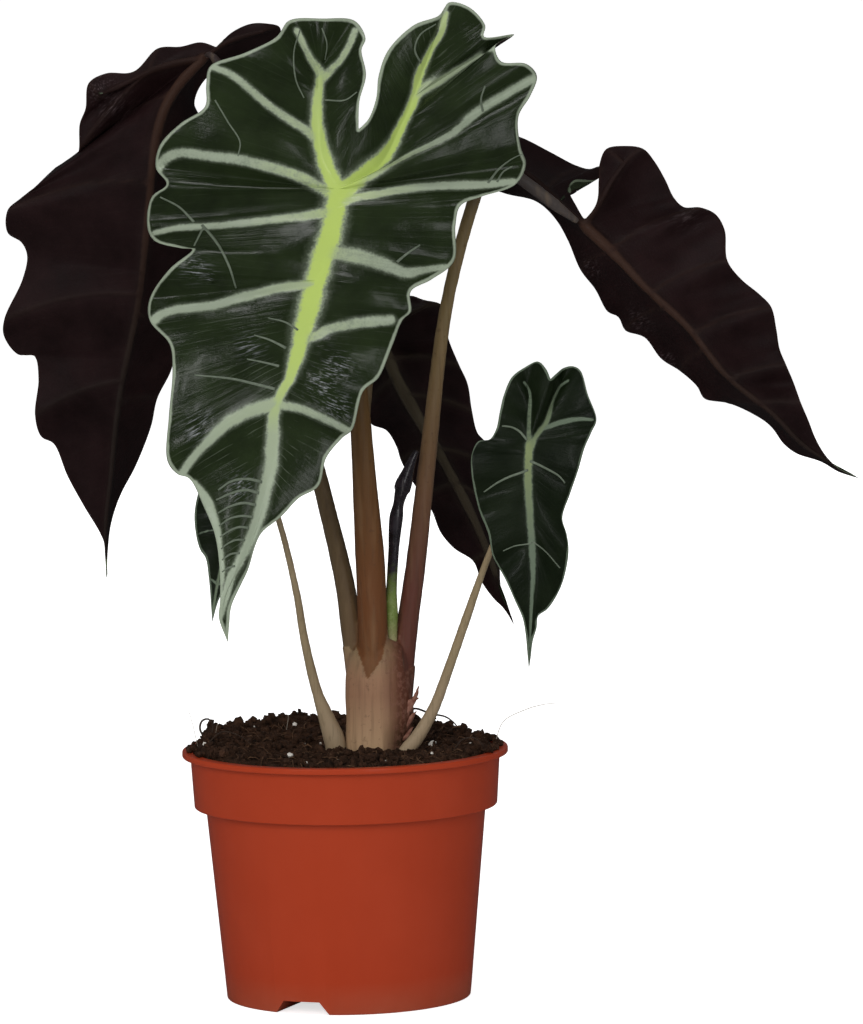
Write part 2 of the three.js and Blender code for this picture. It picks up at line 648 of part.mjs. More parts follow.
// 1 on a rib and at the notch and the tip, 0 halfway between two ribs.
function addRibness(rows, stations) {
  const ribs = stations.map((s, index) => (s.rib ? index : 0)).filter((index) => index > 0);
  const ends = [0, ...ribs, stations.length - 1, stations.length];
  for (const row of rows) {
    const after = ends.findIndex((end) => end > row.place);
    const share = (row.place - ends[after - 1]) / (ends[after] - ends[after - 1]);
    row.ribness = 0.5 + 0.5 * Math.cos(2 * Math.PI * share);
  }
  return rows;
}

// A sheet of triangles for a whole blade, with the depth of its ribs beneath each point.
class Sheet {
  constructor() {
    this.places = [];
    this.ribs = [];
    this.faces = [];
    this.known = new Map();
  }

  point(place, rib) {
    const key = place.toArray().map((value) => value.toFixed(3)).join();
    if (!this.known.has(key)) {
      this.known.set(key, this.places.length);
      this.places.push(place);
      this.ribs.push(rib);
    }
    return this.known.get(key);
  }

  face(a, b, c) {
    if (a !== b && b !== c && c !== a) {
      this.faces.push([a, b, c]);
    }
  }
}

function addHalf(sheet, rows, { facesFront, puff }, onRight) {
  const up = facesFront ? -1 : 1; // the way the top side faces along Y
  const grid = rows.map(({ foot, margin, ribness, footDepth }) =>
    ACROSS.map((share) => {
      const place = foot.clone().lerp(margin, share);
      const width = Math.min(1, foot.distanceTo(margin) / FULL_RIB_REACH);
      const swell = Math.sin(Math.PI * share) * width;
      place.y += up * puff * swell * (SWELL_BETWEEN_RIBS - ribness);
      const ribDepth = RIB_DEPTH * ribness ** 2 * (1 - share) * width;
      return sheet.point(place, share === 0 ? footDepth : ribDepth);
    }),
  );
  for (let i = 0; i + 1 < grid.length; i += 1) {
    for (let j = 0; j + 1 < ACROSS.length; j += 1) {
      const corners = [grid[i][j], grid[i][j + 1], grid[i + 1][j + 1], grid[i + 1][j]];
      const [a, b, c, d] = facesFront === onRight ? corners.reverse() : corners;
      sheet.face(a, b, c);
      sheet.face(a, c, d);
    }
  }
}

function setFootDepths(rows, costa, midrib) {
  for (const row of rows) {
    const onCosta = costa.indexOf(row.foot);
    const onMidrib = midrib.indexOf(row.foot);
    const share = onCosta > 0 ? onCosta / (costa.length - 1) : onMidrib / (midrib.length - 1);
    const fade = onCosta > 0 ? COSTA_SHARE * (1 - share) : 1 - share;
    row.footDepth = MIDRIB_DEPTH * (row.foot === costa[0] ? 1 : fade);
  }
}

function bladeSheet(blade) {
  const sheet = new Sheet();
  const midrib = stepped(blade.midrib, blade.steps);
  for (const name of ["left", "right"]) {
    const half = blade[name];
    const costa = stepped(half.costa, blade.costaSteps);
    const rows = rowsOf(half, blade.notch, costa, midrib);
    setFootDepths(rows, costa, midrib);
    addHalf(sheet, rows, blade, name === "right");
  }
  return sheet;
}

// Gives the sheet its thickness along each point's normal, the same triangles on both faces.
function thickened(sheet, growth = 0) {
  const count = sheet.places.length;
  const flat = meshOf(sheet.places, sheet.faces.flat());
  flat.computeVertexNormals();
  const normal = new THREE.Vector3();
  const top = [];
  const bottom = [];
  sheet.places.forEach((place, i) => {
    normal.fromBufferAttribute(flat.attributes.normal, i);
    const half = BLADE_HALF_THICKNESS + growth;
    top.push(place.clone().addScaledVector(normal, half));
    bottom.push(place.clone().addScaledVector(normal, -half - sheet.ribs[i]));
  });
  const faces = [];
  const edges = new Map();
  for (const [a, b, c] of sheet.faces) {
    faces.push(a, b, c, count + c, count + b, count + a);
    for (const [from, to] of [[a, b], [b, c], [c, a]]) {
      const opposite = edges.delete(`${to},${from}`);
      if (!opposite) {
        edges.set(`${from},${to}`, [from, to]);
      }
    }
  }
  for (const [from, to] of edges.values()) {
    faces.push(to, from, count + from, to, count + from, count + to);
  }
  return meshOf([...top, ...bottom], faces);
}

// ---------------------------------------------------------------- the plant in its pot
function piece(name, geometry, material) {
  const mesh = new THREE.Mesh(geometry, material);
  mesh.name = name;
  return mesh;
}

const BLADES = {
  leaf_blade_front: [FRONT_BLADE, LEAF_TOP],
  leaf_blade_left: [LEFT_BLADE, LEAF_BENEATH],
  leaf_blade_right: [RIGHT_BLADE, LEAF_BENEATH],
  leaf_blade_back: [BACK_BLADE, LEAF_BENEATH],
  leaf_blade_small_left: [SMALL_LEFT_BLADE, LEAF_TOP],
  leaf_blade_small_right: [SMALL_RIGHT_BLADE, LEAF_TOP],
};
const sheets = Object.values(BLADES).map(([blade]) => bladeSheet(blade));
const bladeRoom = sheets.map((sheet) => solid(thickened(sheet, GAP)));

function mainStem() {
  const stalks = [FRONT_STALK, LEFT_STALK, RIGHT_STALK, BACK_STALK].map((s) => stem(s));
  const whole = joined([trunk(), ...stalks]);
  return withoutScraps(cut(whole, [...bladeRoom, stem(NEW_LEAF_STALK, GAP)]));
}

function soil() {
  const hoods = drainNumbers.map((number) =>
    solid(drainBlock(number, WALL + GAP, DRAIN_INNER_REACH - WALL - GAP, FOOT_RADIUS + DRAIN_OVERCUT)),
  );
  const stems = [trunk(GAP), stem(SMALL_LEFT_STALK, GAP), stem(SMALL_RIGHT_STALK, GAP)];
  return withoutScraps(cut(soilBody(), [...hoods, ...stems]));
}

function offsetStem(stalkShape) {
  return withoutScraps(cut(stem(stalkShape), bladeRoom));
}

const plant = new THREE.Group();
plant.add(piece("pot", geometryOf(pot()), TERRACOTTA));
plant.add(piece("soil", geometryOf(soil()), PEAT));
plant.add(piece("main_stem", geometryOf(mainStem()), STALK));
plant.add(piece("new_leaf_rolled", geometryOf(stem(NEW_LEAF_STALK)), NEW_LEAF));
plant.add(piece("offset_stem_left", geometryOf(offsetStem(SMALL_LEFT_STALK)), OFFSET_STALK));
plant.add(piece("offset_stem_right", geometryOf(offsetStem(SMALL_RIGHT_STALK)), OFFSET_STALK));
Object.entries(BLADES).forEach(([name, [, material]], index) => {
  plant.add(piece(name, thickened(sheets[index]), material));
});

export default plant;
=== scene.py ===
# %% [markdown]
# # A potted alocasia, grown in code
# The plant is a small alocasia in a round nursery pot: six arrow-shaped leaves on long stalks, a
# new leaf that is still rolled, and a heap of dark peat. The frame below holds its plain solids at
# their real size. Every visible piece is modelled round that frame, in metres.

# %% Load the frame
import math

import bmesh
import bpy
import numpy as np
from mathutils import Matrix, Vector, noise
from mathutils.bvhtree import BVHTree


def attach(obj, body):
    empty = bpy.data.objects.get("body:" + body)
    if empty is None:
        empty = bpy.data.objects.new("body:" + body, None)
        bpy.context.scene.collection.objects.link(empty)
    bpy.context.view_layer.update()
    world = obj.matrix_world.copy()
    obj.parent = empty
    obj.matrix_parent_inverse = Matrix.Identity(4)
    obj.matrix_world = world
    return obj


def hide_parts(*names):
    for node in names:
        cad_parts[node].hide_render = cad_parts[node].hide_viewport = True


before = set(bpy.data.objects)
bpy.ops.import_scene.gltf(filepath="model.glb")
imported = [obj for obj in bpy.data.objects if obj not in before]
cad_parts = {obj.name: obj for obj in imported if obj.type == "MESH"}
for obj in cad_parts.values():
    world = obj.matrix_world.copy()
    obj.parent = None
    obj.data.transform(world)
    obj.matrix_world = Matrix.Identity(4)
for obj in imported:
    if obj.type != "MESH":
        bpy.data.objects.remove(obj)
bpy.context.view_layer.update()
MM = 0.001

# %% [markdown]
# ## The camera
# A long lens from 2.3 m away, a little above the pot's rim, keeps the pot nearly free of
# perspective. The camera is turned by just under a degree, as a hand-set tripod often is.

# %% Camera
EYE = Vector((33.2, -2300, 394))  # mm
AIM = Vector((33.2, 0, 178.6))
ROLL = math.radians(0.9)
IMAGE_WIDTH = 863
IMAGE_HEIGHT = 1024
FOCAL_PIXELS = 6293
SENSOR = 36


def camera_axes():
    """The way the camera looks, its right and its up, as unit vectors."""
    forward = (AIM - EYE).normalized()
    level = forward.cross(Vector((0, 0, 1))).normalized()
    upright = level.cross(forward)
    right = math.cos(ROLL) * level - math.sin(ROLL) * upright
    up = math.sin(ROLL) * level + math.cos(ROLL) * upright
    return forward, right, up


LOOK, RIGHT, UP = camera_axes()
camera = bpy.data.objects.new("camera", bpy.data.cameras.new("camera"))
camera.data.sensor_fit = "HORIZONTAL"
camera.data.sensor_width = SENSOR
camera.data.lens = SENSOR * FOCAL_PIXELS / IMAGE_WIDTH
camera.data.clip_end = 200
camera.matrix_world = Matrix.Translation(EYE * MM) @ Matrix((RIGHT, UP, -LOOK)).transposed().to_4x4()
bpy.context.scene.collection.objects.link(camera)
bpy.context.scene.camera = camera
print("camera: lens", round(camera.data.lens), "mm")

# %% [markdown]
# ## Floor and light
# A plain pale floor reaches past every edge of the view. A broad soft light beside the camera
# models the pot and the stalks. Two tall lights at its left and right draw the upright bands of
# sheen on the pot, one hangs overhead, one lights the far side, and an even light fills the
# shadows. The leaves are dark and glossy, and a bright room all round would turn them grey. So
# the air, the floor and the two broad lights are dim or absent in a gloss, and the camera sees
# the floor brighter than it is lit.

# %% Materials start from a few small helpers
def add(tree, kind, sockets=None, **settings):
    """One node, its settings, and its sockets: each a value or another node's output."""
    made = tree.nodes.new(kind)
    for name, value in settings.items():
        setattr(made, name, value)
    for name, value in (sockets or {}).items():
        if isinstance(value, bpy.types.NodeSocket):
            tree.links.new(value, made.inputs[name])
        else:
            made.inputs[name].default_value = value
    return made


def new_material(name):
    """An empty material, its node tree and its output node."""
    material = bpy.data.materials.new(name)
    material.use_nodes = True
    tree = material.node_tree
    tree.nodes.clear()
    return material, tree, add(tree, "ShaderNodeOutputMaterial")


def calc(tree, operation, *values, **settings):
    """The result of one Math node."""
    sockets = dict(enumerate(values))
    return add(tree, "ShaderNodeMath", sockets, operation=operation, **settings).outputs[0]


def place_of(tree, axis=None):
    """Where a point of the piece lies, in metres: the whole vector or one coordinate."""
    place = add(tree, "ShaderNodeTexCoord").outputs["Object"]
    if axis is None:
        return place
    return add(tree, "ShaderNodeSeparateXYZ", {"Vector": place}).outputs[axis]


def noisy(tree, vector, scale, detail=2, roughness=0.5):
    """A soft random pattern, from 0 to 1."""
    sockets = {"Vector": vector, "Scale": scale, "Detail": detail, "Roughness": roughness}
    return add(tree, "ShaderNodeTexNoise", sockets).outputs["Fac"]


def colour(red, green, blue):
    """A colour as a node wants it."""
    return (red, green, blue, 1)


def blend_colour(tree, mask, below, above):
    """A colour that goes from below to above where the mask goes from 0 to 1."""
    mixed = add(tree, "ShaderNodeMix", {"Factor": mask, "A": below, "B": above}, data_type="RGBA")
    return mixed.outputs["Result"]


# %% Floor
FLOOR_RADIUS = 60
SEEN_BRIGHTER = 0.66  # light that the floor adds for the camera alone


def new_object(name, bm, materials=()):
    """An object at the origin that takes over the bmesh."""
    mesh = bpy.data.meshes.new(name)
    bm.to_mesh(mesh)
    bm.free()
    for material in materials:
        mesh.materials.append(material)
    made = bpy.data.objects.new(name, mesh)
    bpy.context.scene.collection.objects.link(made)
    return made


def floor_material():
    """Matt pale board with a trace of unevenness."""
    material, tree, output = new_material("pale_floor")
    cloud = noisy(tree, place_of(tree), 3)
    tone = blend_colour(tree, cloud, colour(0.92, 0.92, 0.92), colour(0.95, 0.95, 0.95))
    path = add(tree, "ShaderNodeLightPath").outputs
    tone = blend_colour(tree, path["Is Glossy Ray"], tone, colour(0.08, 0.08, 0.08))
    surface = add(tree, "ShaderNodeBsdfPrincipled", {
        "Base Color": tone, "Roughness": 0.9, "Specular IOR Level": 0.1, "Emission Color": colour(1, 1, 1),
        "Emission Strength": calc(tree, "MULTIPLY", path["Is Camera Ray"], SEEN_BRIGHTER),
    })
    tree.links.new(surface.outputs["BSDF"], output.inputs["Surface"])
    return material


bm = bmesh.new()
bmesh.ops.create_circle(bm, cap_ends=True, segments=96, radius=FLOOR_RADIUS)
floor = new_object("floor", bm, [floor_material()])
print("floor: radius", FLOOR_RADIUS, "m")

# %% Lights
SUBJECT = Vector((0.02, 0, 0.2))


def soft_light(name, place, width, height, power, mirrored=True):
    """A white rectangular soft light that faces the plant, seen in a gloss or not."""
    light = bpy.data.lights.new(name, "AREA")
    light.shape = "RECTANGLE"
    light.size = width
    light.size_y = height
    light.energy = power
    lamp = bpy.data.objects.new(name, light)
    lamp.location = place
    lamp.rotation_euler = (SUBJECT - Vector(place)).to_track_quat("-Z", "Y").to_euler()
    lamp.visible_glossy = mirrored
    bpy.context.scene.collection.objects.link(lamp)


soft_light("light_front", (-0.55, -2.3, 1.0), 1.5, 1.1, 27, mirrored=False)
soft_light("light_left", (-1.0, -1.5, 0.9), 0.14, 0.7, 3.5)
soft_light("light_right", (0.75, -1.8, 0.6), 0.25, 1.2, 4)
soft_light("light_top", (-0.25, -0.35, 1.8), 0.5, 0.3, 3.5)
soft_light("light_back", (0.5, 2.2, 1.1), 1.5, 1.1, 16, mirrored=False)
bpy.context.scene.view_settings.view_transform = "Standard"


def studio_air(seen=1.0, lit=0.42, mirrored=0.08):
    """A pale room: bright to the camera and as soft light, but dim in the gloss of the leaves."""
    world = bpy.data.worlds.new("studio")
    world.use_nodes = True
    tree = world.node_tree
    tree.nodes.clear()
    path = add(tree, "ShaderNodeLightPath").outputs
    soft = add(tree, "ShaderNodeMix", {"Factor": path["Is Glossy Ray"], "A": lit, "B": mirrored})
    strength = add(tree, "ShaderNodeMix", {
        "Factor": path["Is Camera Ray"], "A": soft.outputs["Result"], "B": seen,
    })
    air = add(tree, "ShaderNodeBackground", {
        "Color": colour(1, 1, 1), "Strength": strength.outputs["Result"],
    })
    output = add(tree, "ShaderNodeOutputWorld")
    tree.links.new(air.outputs["Background"], output.inputs["Surface"])
    return world


bpy.context.scene.world = studio_air()

# %% [markdown]
# ## Shared helpers
# Shapes are drawn in millimetres and shrunk to metres as they are finished. Given points are
# joined by one kind of smooth curve, the same that the plain solids use, so a finer piece lies
# exactly where its solid does.

# %% Smooth curves through hand-set points
def spline(points, params):
    """A centripetal curve through the points. A whole number in params is the point itself."""
    points = np.array(points, float)
    params = np.clip(np.array(params, float), 0, len(points) - 1)
    padded = np.vstack([2 * points[0] - points[1], points, 2 * points[-1] - points[-2]])
    low = np.minimum(params.astype(int), len(points) - 2)
    share = (params - low)[:, None]
    p0, p1, p2, p3 = (padded[low + k] for k in range(4))
    d0, d1, d2 = (np.sqrt(np.linalg.norm(b - a, axis=1, keepdims=True) + 1e-9)
                  for a, b in ((p0, p1), (p1, p2), (p2, p3)))
    enter = ((p1 - p0) / d0 - (p2 - p0) / (d0 + d1) + (p2 - p1) / d1) * d1
    leave = ((p2 - p1) / d1 - (p3 - p1) / (d1 + d2) + (p3 - p2) / d2) * d1
    square = -3 * p1 + 3 * p2 - 2 * enter - leave
    cube = 2 * p1 - 2 * p2 + enter + leave
    return p1 + enter * share + square * share ** 2 + cube * share ** 3


MEASURED = 400  # points that measure a curve's length


def evenly(points, shares):
    """Points at the given shares of the length of the curve."""
    params = np.linspace(0, len(points) - 1, MEASURED)
    line = spline(points, params)
    run = np.concatenate([[0], np.cumsum(np.linalg.norm(np.diff(line, axis=0), axis=1))])
    return spline(points, np.interp(np.array(shares) * run[-1], run, params))


def ramp(values, shares):
    """The values at the given shares of their list, with straight lines between them."""
    return np.interp(shares, np.linspace(0, 1, len(values)), values)


# %% Pieces and their place in the frame
WELD = 0.0005  # mm
NEVER_ALONG = [0.3, 1, 0.2]  # a direction that no line here starts in
END_NARROWING = 0.5  # share of its radius that a narrowed tube loses at its end


def finish_piece(name, bm, materials, slot, *nodes, smooth=True):
    """Turns a bmesh in millimetres into a piece in metres that rides on the plant."""
    bmesh.ops.scale(bm, vec=(MM, MM, MM), verts=bm.verts)
    for face in bm.faces:
        face.smooth = smooth
    piece = new_object(name, bm, materials)
    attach(piece, "root")
    if nodes:
        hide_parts(*nodes)
    print(f"{name}: {sum(len(face.vertices) - 2 for face in piece.data.polygons)} triangles")


def rolled_grid(bm, rings):
    """A tube from rings of points: a grid that is rolled up, welded along its seam and capped."""
    rows, sides = rings.shape[0], rings.shape[1]
    made = bmesh.ops.create_grid(bm, x_segments=sides, y_segments=rows - 1, size=1)["verts"]
    for index, vert in enumerate(made):
        row, side = divmod(index, sides + 1)
        vert.co = rings[row, side % sides]
    bmesh.ops.remove_doubles(bm, verts=made, dist=WELD)
    kept = [vert for vert in made if vert.is_valid]
    rim = list({edge for vert in kept for edge in vert.link_edges if edge.is_boundary})
    bmesh.ops.holes_fill(bm, edges=rim, sides=0)
    faces = list({face for vert in kept for face in vert.link_faces})
    bmesh.ops.recalc_face_normals(bm, faces=faces)
    return kept


def across_axes(line):
    """Two directions across a line at each of its points, turned as little as possible."""
    along = np.gradient(line, axis=0)
    along /= np.linalg.norm(along, axis=1, keepdims=True)
    first = np.cross(along[0], NEVER_ALONG)
    side = first / np.linalg.norm(first)
    sides = []
    for tangent in along:
        side = side - tangent * side.dot(tangent)
        side /= np.linalg.norm(side)
        sides.append(side)
    sides = np.array(sides)
    return sides, np.cross(along, sides)


def tube(bm, points, radii, sides=24, spacing=1.5, end=1.0, narrowed=0.0):
    """A closed tube along the curve, thick as the radii say, up to a share, narrowed at its end."""
    reach = sum(math.dist(a, b) for a, b in zip(points, points[1:]))
    shares = np.linspace(0, end, max(4, round(reach / spacing)))
    line = evenly(points, shares)
    first, second = across_axes(line)
    turns = np.linspace(0, math.tau, sides, endpoint=False)
    size = ramp(radii, shares)[:, None, None]
    if narrowed:
        near_end = np.clip((shares - end + narrowed) / narrowed, 0, 1)
        size = size * (1 - END_NARROWING * near_end)[:, None, None]
    spread = first[:, None] * np.cos(turns)[None, :, None]
    spread = spread + second[:, None] * np.sin(turns)[None, :, None]
    return rolled_grid(bm, line[:, None] + size * spread)


def photo_ray(px, py):
    """The direction from the camera through a pixel of the 863 by 1024 image."""
    right = (px - IMAGE_WIDTH / 2) / FOCAL_PIXELS
    up = (IMAGE_HEIGHT / 2 - py) / FOCAL_PIXELS
    return (LOOK + RIGHT * right + UP * up).normalized()


# %% [markdown]
# ## Effects that several finishes share
# Mottling, lengthwise streaks and the leaf's veins each sit in a node group, so that every
# finish that needs one sets only its own values. The helpers before them name the single steps
# that groups and finishes are built from.

# %% Single steps
def scaled(tree, value, factor):
    """A mask times a number or times another mask."""
    return calc(tree, "MULTIPLY", value, factor)


def stretched(tree, vector, factors):
    """A vector, each part times its own factor."""
    sockets = {0: vector, 1: factors}
    return add(tree, "ShaderNodeVectorMath", sockets, operation="MULTIPLY").outputs[0]


def attribute(tree, name):
    """A number that the piece holds at each of its points."""
    return add(tree, "ShaderNodeAttribute", attribute_name=name).outputs["Fac"]


def fan_of(tree):
    """A blade's own map: the whole vector, the run along it and the share from rib to margin."""
    fan = add(tree, "ShaderNodeUVMap", uv_map="fan").outputs["UV"]
    parts = add(tree, "ShaderNodeSeparateXYZ", {"Vector": fan}).outputs
    return fan, parts["X"], parts["Y"]


def ranged(tree, value, low, high, start=0.0, end=1.0, **settings):
    """The value, stretched from low..high to start..end and held there."""
    sockets = {"Value": value, "From Min": low, "From Max": high, "To Min": start, "To Max": end}
    return add(tree, "ShaderNodeMapRange", sockets, **settings).outputs[0]


# %% Node groups
def new_group(name, inputs, outputs):
    """A shader node group, the values it is given and the sockets it fills, all numbers."""
    group = bpy.data.node_groups.new(name, "ShaderNodeTree")
    for socket, value in inputs.items():
        made = group.interface.new_socket(socket, in_out="INPUT", socket_type="NodeSocketFloat")
        made.default_value = value
    for socket in outputs:
        group.interface.new_socket(socket, in_out="OUTPUT", socket_type="NodeSocketFloat")
    return group, add(group, "NodeGroupInput").outputs, add(group, "NodeGroupOutput").inputs


def use_group(tree, group, **values):
    """The outputs of a group that is placed in a material, with its inputs set."""
    return add(tree, "ShaderNodeGroup", values, node_tree=group).outputs


def mottling_group():
    """Soft blotches with finer ones inside them, from 0 to 1."""
    group, given, out = new_group("mottling", {"Scale": 100, "Contrast": 1}, ["Mask"])
    blotch = noisy(group, place_of(group), given["Scale"], 5, 0.6)
    spread = calc(group, "MULTIPLY", calc(group, "SUBTRACT", blotch, 0.5), given["Contrast"])
    group.links.new(calc(group, "ADD", spread, 0.5, use_clamp=True), out["Mask"])
    return group


def streak_group():
    """Fine streaks that run up a stalk, from 0 to 1."""
    group, given, out = new_group("streaks", {"Scale": 900, "Stretch": 0.05}, ["Mask"])
    factors = add(group, "ShaderNodeCombineXYZ", {"X": 1, "Y": 1, "Z": given["Stretch"]}).outputs[0]
    drawn = stretched(group, place_of(group), factors)
    group.links.new(noisy(group, drawn, given["Scale"], 3, 0.55), out["Mask"])
    return group


def vein_group():
    """The veins' mask, their middle and the paler band beside them, from the blade's own numbers."""
    inputs = {"Softness": 0.2, "Halo": 2.4, "Feather": 0.3}
    group, given, out = new_group("veins", inputs, ["Mask", "Core", "Halo"])
    place = place_of(group)
    ragged = calc(group, "ADD", noisy(group, place, 1100, 3), noisy(group, place, 260))
    centred = calc(group, "SUBTRACT", ragged, 1.0)
    shift = calc(group, "MULTIPLY_ADD", centred, given["Feather"], attribute(group, "vein"))
    ends = {
        "Mask": (calc(group, "SUBTRACT", 1, given["Softness"]), calc(group, "ADD", 1, given["Softness"])),
        "Core": (0.6, 1.1),
        "Halo": (1.0, given["Halo"]),
    }
    for name, (inner, outer) in ends.items():
        band = ranged(group, shift, inner, outer, 1, 0, interpolation_type="SMOOTHSTEP")
        group.links.new(band, out[name])
    return group


def fine_vein_group():
    """Hair-fine veins that run out from the midrib, broken and unequal, from 0 to 1."""
    group, given, out = new_group("fine_veins", {"Spacing": 0.3, "Width": 0.1}, ["Mask"])
    _, run, share = fan_of(group)
    place = place_of(group)
    bent = calc(group, "MULTIPLY_ADD", noisy(group, place, 45, 3), 0.35, run)
    within = calc(group, "PINGPONG", calc(group, "DIVIDE", bent, given["Spacing"]), 1)
    line = ranged(group, within, 0, given["Width"], 1, 0, interpolation_type="SMOOTHSTEP")
    broken = scaled(group, line, ranged(group, noisy(group, place, 120), 0.42, 0.62))
    group.links.new(scaled(group, broken, ranged(group, share, 0.1, 0.95, 1, 0.25)), out["Mask"])
    return group


MOTTLING = mottling_group()
STREAKS = streak_group()
VEINS = vein_group()
FINE_VEINS = fine_vein_group()
print("node groups:", [group.name for group in bpy.data.node_groups])

# %% The steps that every finish takes
def mottled(tree, scale, contrast):
    """The mottling's mask."""
    return use_group(tree, MOTTLING, Scale=scale, Contrast=contrast)["Mask"]


def streaked(tree, scale, stretch):
    """The streaks' mask."""
    return use_group(tree, STREAKS, Scale=scale, Stretch=stretch)["Mask"]


def washed(tree, tone, mask, strength, shade):
    """A tone with a shade laid over it, as strongly as the mask times the strength."""
    return blend_colour(tree, scaled(tree, mask, strength), tone, shade)


def surface_of(tree, output, base, roughness, height, strength, distance, **constants):
    """A Principled surface with a bump, joined to the material's output."""
    bump = add(tree, "ShaderNodeBump", {"Height": height, "Strength": strength, "Distance": distance})
    sockets = {"Base Color": base, "Roughness": roughness, "Normal": bump.outputs["Normal"]}
    sockets.update({name.replace("_", " "): value for name, value in constants.items()})
    surface = add(tree, "ShaderNodeBsdfPrincipled", sockets)
    tree.links.new(surface.outputs["BSDF"], output.inputs["Surface"])


# %% [markdown]
# ## The leaf blades
# Each blade is a fan: rows of points run from the midrib, or from the main rib of a back lobe,
# out to a scalloped margin. The tables repeat the plain solids' own numbers, in millimetres, but
# for two points near the front blade's tip, where its right side is kept clear of the midrib. A
# margin point is [step, x, z], with 1 added where a rib ends there. The step says how far along
# its rib the row starts, and the margin's depth follows from slope, roll and wave.

# %% Blade outlines
FRONT_BLADE = {
    "faces_front": True, "steps": 24, "costa_steps": 6, "puff": 2.2, "notch": [9, -22.5, 320],
    "midrib": [[1, -24, 298.5], [-3.5, -34, 279], [-9.5, -44, 256], [-19, -56, 228.5], [-24, -65, 200.5],
        [-31.5, -71, 174.5], [-41, -75, 154.5], [-40, -74, 140]],
    "left": {
        "slope": -0.05, "roll": 0.003, "wave": 2,
        "costa": [[1, -24, 298.5], [-4.5, -21, 309], [-5.5, -17, 321.5], [-5, -10, 341.5]],
        "lobe": [[2, 9.5, 330], [4, 12, 339.5], [5, 10.5, 348.5], [6, 12, 352.5], [6, 8, 359, 1],
            [6, -3.5, 360], [6, -15.5, 359.5, 1], [5, -20.5, 353.5], [5, -32, 348], [4, -44.5, 343.5, 1],
            [3, -46, 336.5], [2, -46.5, 329], [1, -55.5, 323], [0, -63, 315.5], [0, -65, 307, 1]],
        "side": [[0, -61, 301], [0, -66.5, 296.5], [1, -68.5, 287.5, 1], [2, -65.5, 281], [3, -56, 278.5],
            [4, -51.5, 278], [5, -59.5, 271.5], [5, -67.5, 260, 1], [6, -67, 252.5], [7, -60, 244.5],
            [8, -59, 235.5], [9, -60.5, 219.5], [11, -61.5, 204, 1], [12, -57.5, 199], [13, -53, 197.5],
            [15, -48, 188], [17, -44, 178], [19, -42.5, 166], [21, -42.5, 155], [23, -43, 149],
            [24, -40, 140]],
    },
    "right": {
        "slope": -0.03, "roll": 0.0026, "wave": 2,
        "costa": [[1, -24, 298.5], [16, -19, 306], [23.5, -14, 318.5], [30, -9, 333], [37.5, -3, 353]],
        "lobe": [[1, 12.5, 323.5], [2, 15.5, 331], [3, 16.5, 339], [4, 20, 348], [5, 29.5, 357],
            [6, 39, 360.5], [6, 42.5, 365, 1], [6, 50, 363], [5, 55.5, 356.5], [4, 55, 352.5],
            [4, 66, 353, 1], [3, 59, 349], [3, 61, 343.5], [2, 70, 342.5], [1, 74, 338, 1], [1, 71.5, 331],
            [0, 67, 323.5], [0, 67.5, 313], [0, 69.5, 306, 1]],
        "side": [[0, 65.5, 299], [1, 53, 295], [1, 45.5, 292], [2, 43.5, 285], [3, 43, 272.5, 1],
            [4, 34.5, 266], [5, 27, 262], [6, 27, 255], [7, 24, 252, 1], [8, 20, 243], [9, 15, 232],
            [10, 9.5, 227.5], [11, 5.5, 214, 1], [12, 1.5, 211], [13, -4, 204.5], [14, -7, 194.5],
            [15, -14, 190.5], [16, -20.5, 184], [17, -27.5, 178.5], [18, -30, 173.5], [19, -32.5, 165.5],
            [20, -35, 160.5], [22, -38.5, 153], [23, -39.3, 147], [24, -40, 140]],
    },
}
LEFT_BLADE = {
    "faces_front": False, "steps": 24, "costa_steps": 6, "puff": 1.8, "notch": [-43.5, 44.5, 349],
    "midrib": [[-49, 44, 345], [-59, 40, 334.5], [-66, 39, 319.5], [-70.5, 42, 289], [-74.5, 47, 258],
        [-83.5, 56, 217.5], [-87.5, 62, 187], [-90, 66, 167.5], [-90, 68, 149]],
    "left": {
        "slope": 0.28, "roll": 0, "wave": -2,
        "costa": [[-49, 44, 345], [-63.5, 46, 342.5], [-78.5, 46, 336], [-88.5, 48, 331.5]],
        "lobe": [[1, -50, 351], [2, -57.5, 349.5], [3, -66, 349, 1], [4, -75, 340.5], [5, -85.5, 340],
            [6, -92, 336.5, 1], [5, -93.5, 327], [4, -96, 321], [3, -96.5, 311.5, 1], [1, -99.5, 306],
            [0, -106, 304]],
        "side": [[2, -113, 298, 1], [4, -119, 293.5], [6, -123.5, 289.5, 1], [8, -124, 280.5],
            [9, -119, 277], [10, -117, 272], [10, -119, 263], [11, -126, 248.5, 1], [12, -126.5, 241],
            [13, -121.5, 234.5], [14, -115.5, 234], [14, -114, 225.5], [15, -115.5, 212, 1],
            [16, -113.5, 203], [17, -109, 200.5], [18, -104, 188], [20, -98, 176.5], [22, -92, 166],
            [23, -90, 160], [24, -90, 149]],
    },
    "right": {
        "slope": 0.95, "roll": 0, "wave": -1.5,
        "costa": [[-49, 44, 345], [-41, 44, 350.5], [-33.5, 46, 353], [-27, 48, 354.5]],
        "lobe": [[2, -39, 354], [4, -31.5, 357.5], [6, -25, 357.5], [6, -20.5, 356, 1], [4, -22.5, 346.5],
            [2, -36, 339.5], [0, -47, 338.5]],
        "side": [[1, -53, 328], [2, -47.5, 318], [4, -41, 304.5, 1], [6, -46.5, 289.5],
            [8, -43.5, 272.5, 1], [10, -51, 255.5], [12, -53, 244, 1], [13, -61.5, 235], [14, -64.5, 226.5],
            [16, -69.5, 217, 1], [18, -72.5, 205.5], [20, -78.5, 191], [21, -84.5, 180], [22, -88, 170],
            [23, -89.5, 159.5], [24, -90, 149]],
    },
}
